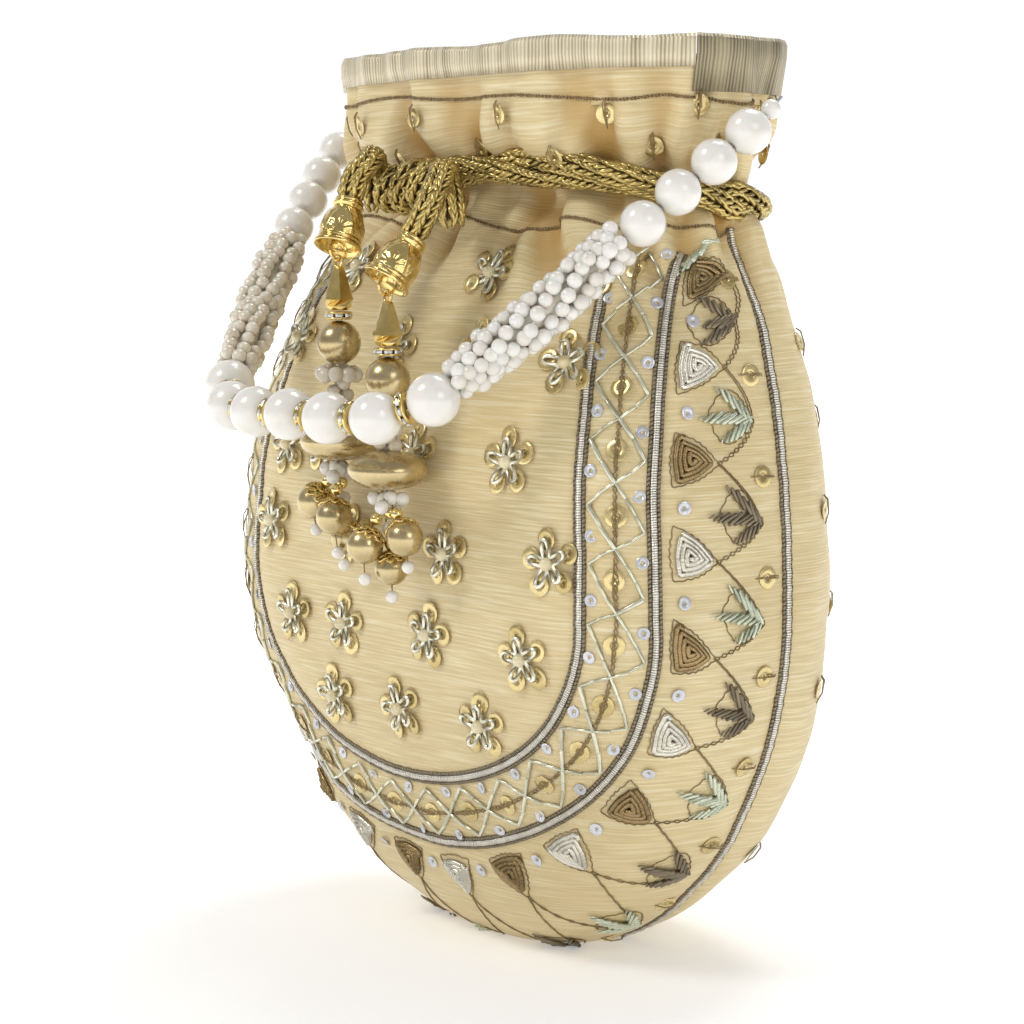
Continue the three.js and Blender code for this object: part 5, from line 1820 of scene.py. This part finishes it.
# ---- Tassels
@dataclass
class Tassel:
    """A bell cap on its cord tail, and under it a faceted cone, beads and a cluster of drops."""
    side: str
    shop: Workshop
    small: SmallPieces
    rim: tuple
    tilt: float
    roll: float
    seed: int
    ball_radius: float = 0.0061
    lentil_radius: float = 0.011
    lentil_half: float = 0.0054

    def bell(self) -> None:
        """The cap: a ringed lip, an embossed belly and a flared double rim, hollow below."""
        t, r = math.radians(-self.tilt), math.radians(self.roll)
        place = Matrix.Translation(Vector(self.rim) * MM) @ Matrix.Rotation(t, 4, "X") @ Matrix.Rotation(r, 4,
                "Y")
        outline = np.array([[14.5, 2.7], [14.55, 3.5], [14.3, 4.0], [13.8, 4.15], [13.4, 3.9], [13.1, 4.2],
                [12.6, 4.45], [12.1, 4.1], [11.7, 3.85], [11.0, 4.25], [9.6, 5.0], [8.0, 5.7], [6.4, 6.05],
                [4.8, 6.1], [3.6, 5.95], [3.0, 5.8], [2.6, 6.05], [2.2, 6.25], [1.8, 6.0], [1.45, 6.2],
                [1.0, 6.75], [0.45, 6.85], [0.0, 6.6]])
        fine = along_line(outline, count=90)
        inside = np.array([[0.1, 6.1], [1.6, 5.3], [4.0, 5.0], [4.3, 0.01]])
        profile = np.vstack([fine, inside])[:, ::-1] * MM

        def swell(a: Array, z: Array, radius: Array) -> Array:
            """Pointed arches with a fan in each and dots between, raised on the belly."""
            f = (z / MM - 3.2) / 8.2
            on = ((f > 0) & (f < 1) & (radius > 0.0037)).astype(float)
            cell = (a * 4 / TURN) % 1.0 - 0.5
            arch = 0.42 * np.sqrt(np.clip(1 - f, 0, 1))
            rib = bell(np.abs(cell) - arch, 0.035)
            fan_angle = np.arctan2(cell * 1.15, f - 0.08)
            fan_reach = np.hypot(cell * 1.15, f - 0.08)
            fan = (0.5 + 0.5 * np.cos(fan_angle * 9)) * ramp(fan_reach, 0.10, 0.16)
            fan = fan * ramp(fan_reach, 0.46, 0.40) * (np.abs(cell) < arch)
            dot = bell(np.hypot((np.abs(cell) - 0.5) * 1.3, f - 0.72), 0.07)
            return on * MM * (0.30 * rib + 0.20 * fan + 0.28 * dot)

        made = Pieces()
        made.lathe(profile, 128, place, swell)
        shell = made.build(f"bell_cap_{self.side}_shell", Finish.GOLD.material())
        hand_over(shell, "bag", f"bell_cap_{self.side}")

    def part(self, kind: str) -> tuple[Array, Array]:
        """Middle and half sizes of one of this tassel's CAD nodes."""
        low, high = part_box(f"{kind}_{self.side}")
        return np.array((low + high) / 2), np.array((high - low) / 2)

    def finish_piece(self, thing: Thing, node: str | None = None) -> None:
        """Every hanging piece rides on the tassel."""
        hand_over(thing, f"tassel_{self.side}", node)

    def cone(self) -> None:
        """Six flat faces that end in kite facets, with a wire eye on top."""
        middle, half = self.part("cone")
        top = middle[2] + half[2]
        foot = middle[2] - half[2]
        x, y = middle[0], middle[1]
        made = Pieces()
        rows = []
        for z, r, turn in ((foot, 0.0001, 0), (foot, 0.0027, 0.5), (foot + 0.0011, 0.0036, 0.0),
                (foot + 0.0030, 0.0044, 0.5), (foot + 0.0115, 0.0017, 0.5), (foot + 0.0121, 0.0012, 0.5),
                (foot + 0.0121, 0.0001, 0.5)):
            a = TURN * (np.arange(6) + turn) / 6
            rows.append(np.stack([x + r * np.cos(a), y + r * np.sin(a), np.full(6, z)], 1))
        grid = np.stack(rows)
        made.grid(grid, np.zeros((len(rows), 7, 2)), wrap_columns=True)
        self.finish_piece(made.build(f"cone_{self.side}_facets", Finish.GOLD.material(), smooth=False),
                f"cone_{self.side}")
        a = around(24)
        eye = Pieces()
        eye.sweep(np.stack([x + 0.0016 * np.cos(a), y + 0 * a, top - 0.00205 + 0.0016 * np.sin(a)], 1),
                0.00042, 8, closed=True)
        self.finish_piece(eye.build(f"cone_{self.side}_eye", Finish.GOLD.material()))

    def beads(self) -> None:
        """Rondelle, ball, collar of small pearls and lentil."""
        name = f"tassel_rondelle_{self.side}"
        Rondelle(0.0039, 0.0011, 8).build(f"{name}_ring", self.part("tassel_rondelle")[0], UP,
                f"tassel_{self.side}", name)
        at = self.part("tassel_ball")[0]
        a = np.linspace(0.02, math.pi - 0.02, 30)
        made = Pieces()
        made.lathe(self.ball_radius * np.stack([np.sin(a), np.cos(a)], 1), 48, Matrix.Translation(Vector(at)))
        self.finish_piece(made.build(f"tassel_ball_{self.side}_satin", Finish.ANTIQUE.material()),
                f"tassel_ball_{self.side}")
        at = self.part("pearl_collar")[0]
        points, rng = Points(), np.random.default_rng(self.seed)
        for k in range(8):
            a0 = TURN * k / 8 + rng.normal(0, 0.06)
            spot = at + np.array([0.0046 * math.cos(a0), 0.0046 * math.sin(a0), rng.normal(0, 0.0005)])
            points.add(spot, rng.normal(0, 1, 3), EAST)
        lentil = self.part("lentil_bead")[0]
        gap_top, gap_low = at[2] - 0.002, lentil[2] + self.lentil_half
        for k in range(10):
            f = (k + 0.5) / 10
            a0 = 2.4 * k
            middle = np.array([at[0], at[1], gap_top + (gap_low - gap_top) * f])
            spot = middle + 0.0022 * np.array([math.cos(a0), math.sin(a0), 0])
            points.add(spot, rng.normal(0, 1, 3), EAST, 0.9)
        collar = self.shop.place(f"pearl_collar_{self.side}_beads", points,
                self.small.bead(0.0022, f"collar_{self.side}", 14), Finish.CREAM_PEARL)
        collar.data.shade_smooth()
        self.finish_piece(collar, f"pearl_collar_{self.side}")
        a = np.linspace(0.02, math.pi - 0.02, 40)
        profile = np.stack([self.lentil_radius * np.sin(a) ** 0.92, self.lentil_half * np.cos(a)], 1)
        made = Pieces()
        made.lathe(profile, 56, Matrix.Translation(Vector(lentil)))
        self.finish_piece(made.build(f"lentil_{self.side}_satin", Finish.ANTIQUE.material()),
                f"lentil_bead_{self.side}")

    def drops(self) -> None:
        """Gold balls under filigree caps, white drops, and the beaded threads that hold them."""
        foot = self.part("lentil_bead")[0] - np.array([0, 0, 0.0053])
        rng = np.random.default_rng(self.seed + 3)
        white, gold_dots, threads = Points(), Points(), []
        for i in (1, 2, 3):
            low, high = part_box(f"drop_pearl_{self.side}_{i}")
            at, radius = np.array((low + high) / 2), float((high - low).x / 2)
            up = unit(foot - at)
            place = oriented(at, up, np.array([1.0, 0.1, 0]))
            a = np.linspace(0.02, math.pi - 0.02, 26)
            made = Pieces()
            made.lathe(np.stack([radius * np.sin(a), radius * np.cos(a)], 1), 40, place)
            satin = made.build(f"drop_{self.side}_{i}_satin", Finish.ANTIQUE.material())
            self.finish_piece(satin, f"drop_pearl_{self.side}_{i}")
            cap = Pieces()
            ring = around(48)
            for reach, bend, thick in ((0.35, 0, 0.00035), (0.62, 6, 0.00032), (0.86, 8, 0.00038)):
                tilt = reach * (1 + 0.16 * np.cos(bend * ring)) if bend else reach + 0 * ring
                line = (radius + 0.0003) * np.stack([np.sin(tilt) * np.cos(ring), np.sin(tilt) * np.sin(ring),
                        np.cos(tilt)], 1)
                cap.sweep(apply_place(place, line), thick, 5, closed=True)
            tilt = np.linspace(0.15, 0.95, 8)
            for k in range(8):
                b = TURN * k / 8 + 0.25 * np.sin(tilt * 5)
                line = (radius + 0.00035) * np.stack([np.sin(tilt) * np.cos(b), np.sin(tilt) * np.sin(b),
                        np.cos(tilt)], 1)
                cap.sweep(apply_place(place, line), 0.00028, 4)
            self.finish_piece(cap.build(f"drop_{self.side}_{i}_filigree", Finish.GOLD.material()))
            line = spline([foot + np.array([0, 0, 0.001]), (foot + at) / 2 + rng.normal(0, 0.0008, 3),
                    at + up * radius], 14)
            threads.append(line)
            room = float(np.linalg.norm(foot - at)) - radius
            count = max(1, int(room / 0.0042))
            for k in range(count):
                p = foot + (at + up * radius - foot) * (k + 0.5) / count
                (white if k % 2 == 0 else gold_dots).add(p, up, EAST)
            below = at - up * radius
            tip = at - np.array([0, 0, radius + 0.0036]) + rng.normal(0, 0.0006, 3)
            threads.append(np.array([below * 0.3 + at * 0.7, tip]))
            white.add(tip, UP, EAST, 0.85)
        for k in range(4):
            a = TURN * (k + 0.3) / 4
            p = foot + np.array([0.0042 * math.cos(a), 0.0042 * math.sin(a), -0.0024 - 0.002 * (k % 2)])
            white.add(p, UP, EAST, 0.95)
            threads.append(np.array([foot + np.array([0, 0, 0.001]), p]))
        beads = self.shop.place(f"drop_pearls_{self.side}", white,
                self.small.bead(0.0021, f"drop_white_{self.side}", 14), Finish.PEARL)
        beads.data.shade_smooth()
        dots = self.shop.place(f"drop_dots_{self.side}", gold_dots,
                self.small.bead(0.0017, f"drop_gold_{self.side}", 12), Finish.GOLD)
        dots.data.shade_smooth()
        wires = self.shop.spin(f"drop_threads_{self.side}", threads, 0.0002, Finish.DARK_GOLD, 4)
        self.finish_piece(beads)
        self.finish_piece(dots)
        self.finish_piece(wires)

    def build(self) -> None:
        """The hanging parts; the cap is made earlier, with the cords."""
        self.cone()
        self.beads()
        self.drops()


# ---- Putting it together
def seam_line(form: BagForm) -> Array:
    """The line of the side seams, from the neck on +X round the bottom to the neck on -X."""
    z = np.r_[np.linspace(0.203, 0.102, 90), 0.102 - (0.102 + form.sunk)
            * np.sin(np.linspace(0, math.pi / 2, 90))]
    right = form.point(z[z > 0.0], np.zeros((z > 0.0).sum()))
    right[:, 1] = 0
    left = right[::-1] * np.array([-1, 1, 1])
    return along_line(np.vstack([right, left]), count=481)


def main() -> None:
    """Builds the whole bag in order."""
    logging.basicConfig(level=logging.INFO, format="%(name)s: %(message)s")
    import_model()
    studio = Studio()
    studio.camera()
    form = BagForm()
    shop, small = Workshop(), SmallPieces()
    inner = LoopLine(0.197, 0.058, 0.073, 0.050).line(form)
    middle = LoopLine(0.197, 0.073, 0.0895, 0.031).line(form)
    outer = seam_line(form)
    dips = np.vstack([along_line(line, step=0.004) for line in (inner, middle, outer)])
    cloth = Cloth(form, dips)
    tassels = [Tassel("left", shop, small, (-14, -66.5, 197), 24, -8, 51),
            Tassel("right", shop, small, (12.5, -70, 188), 36, 6, 61)]
    for tassel in tassels:
        tassel.bell()
    drawcord = Drawcord(cloth, shop, small)
    drawcord.tails()
    log.info("cords made")
    drawcord.build()
    log.info("drawcord made")
    SilkPouch(cloth).build()
    log.info("silk and lining made")
    MouthRibbon(cloth, shop).build()
    Pipings(cloth, inner, middle, outer).build()
    log.info("ribbon and pipings made")
    lattice, border = Strip(form, cloth, inner, middle), Strip(form, cloth, middle, outer)
    Embroidery(cloth, shop, small, lattice, border).build()
    log.info("embroidery made")
    Handle(shop, small).build()
    log.info("handle made")
    for tassel in tassels:
        tassel.build()
    small.clear()
    log.info("tassels made")
    for node, finish in (("handle_core", Finish.STONE), ("link_left", Finish.GOLD),
            ("link_right", Finish.GOLD)):
        materials = bpy.data.objects[node].data.materials
        materials.clear()
        materials.append(finish.material())
    studio.build()


if __name__ == "__main__":
    main()
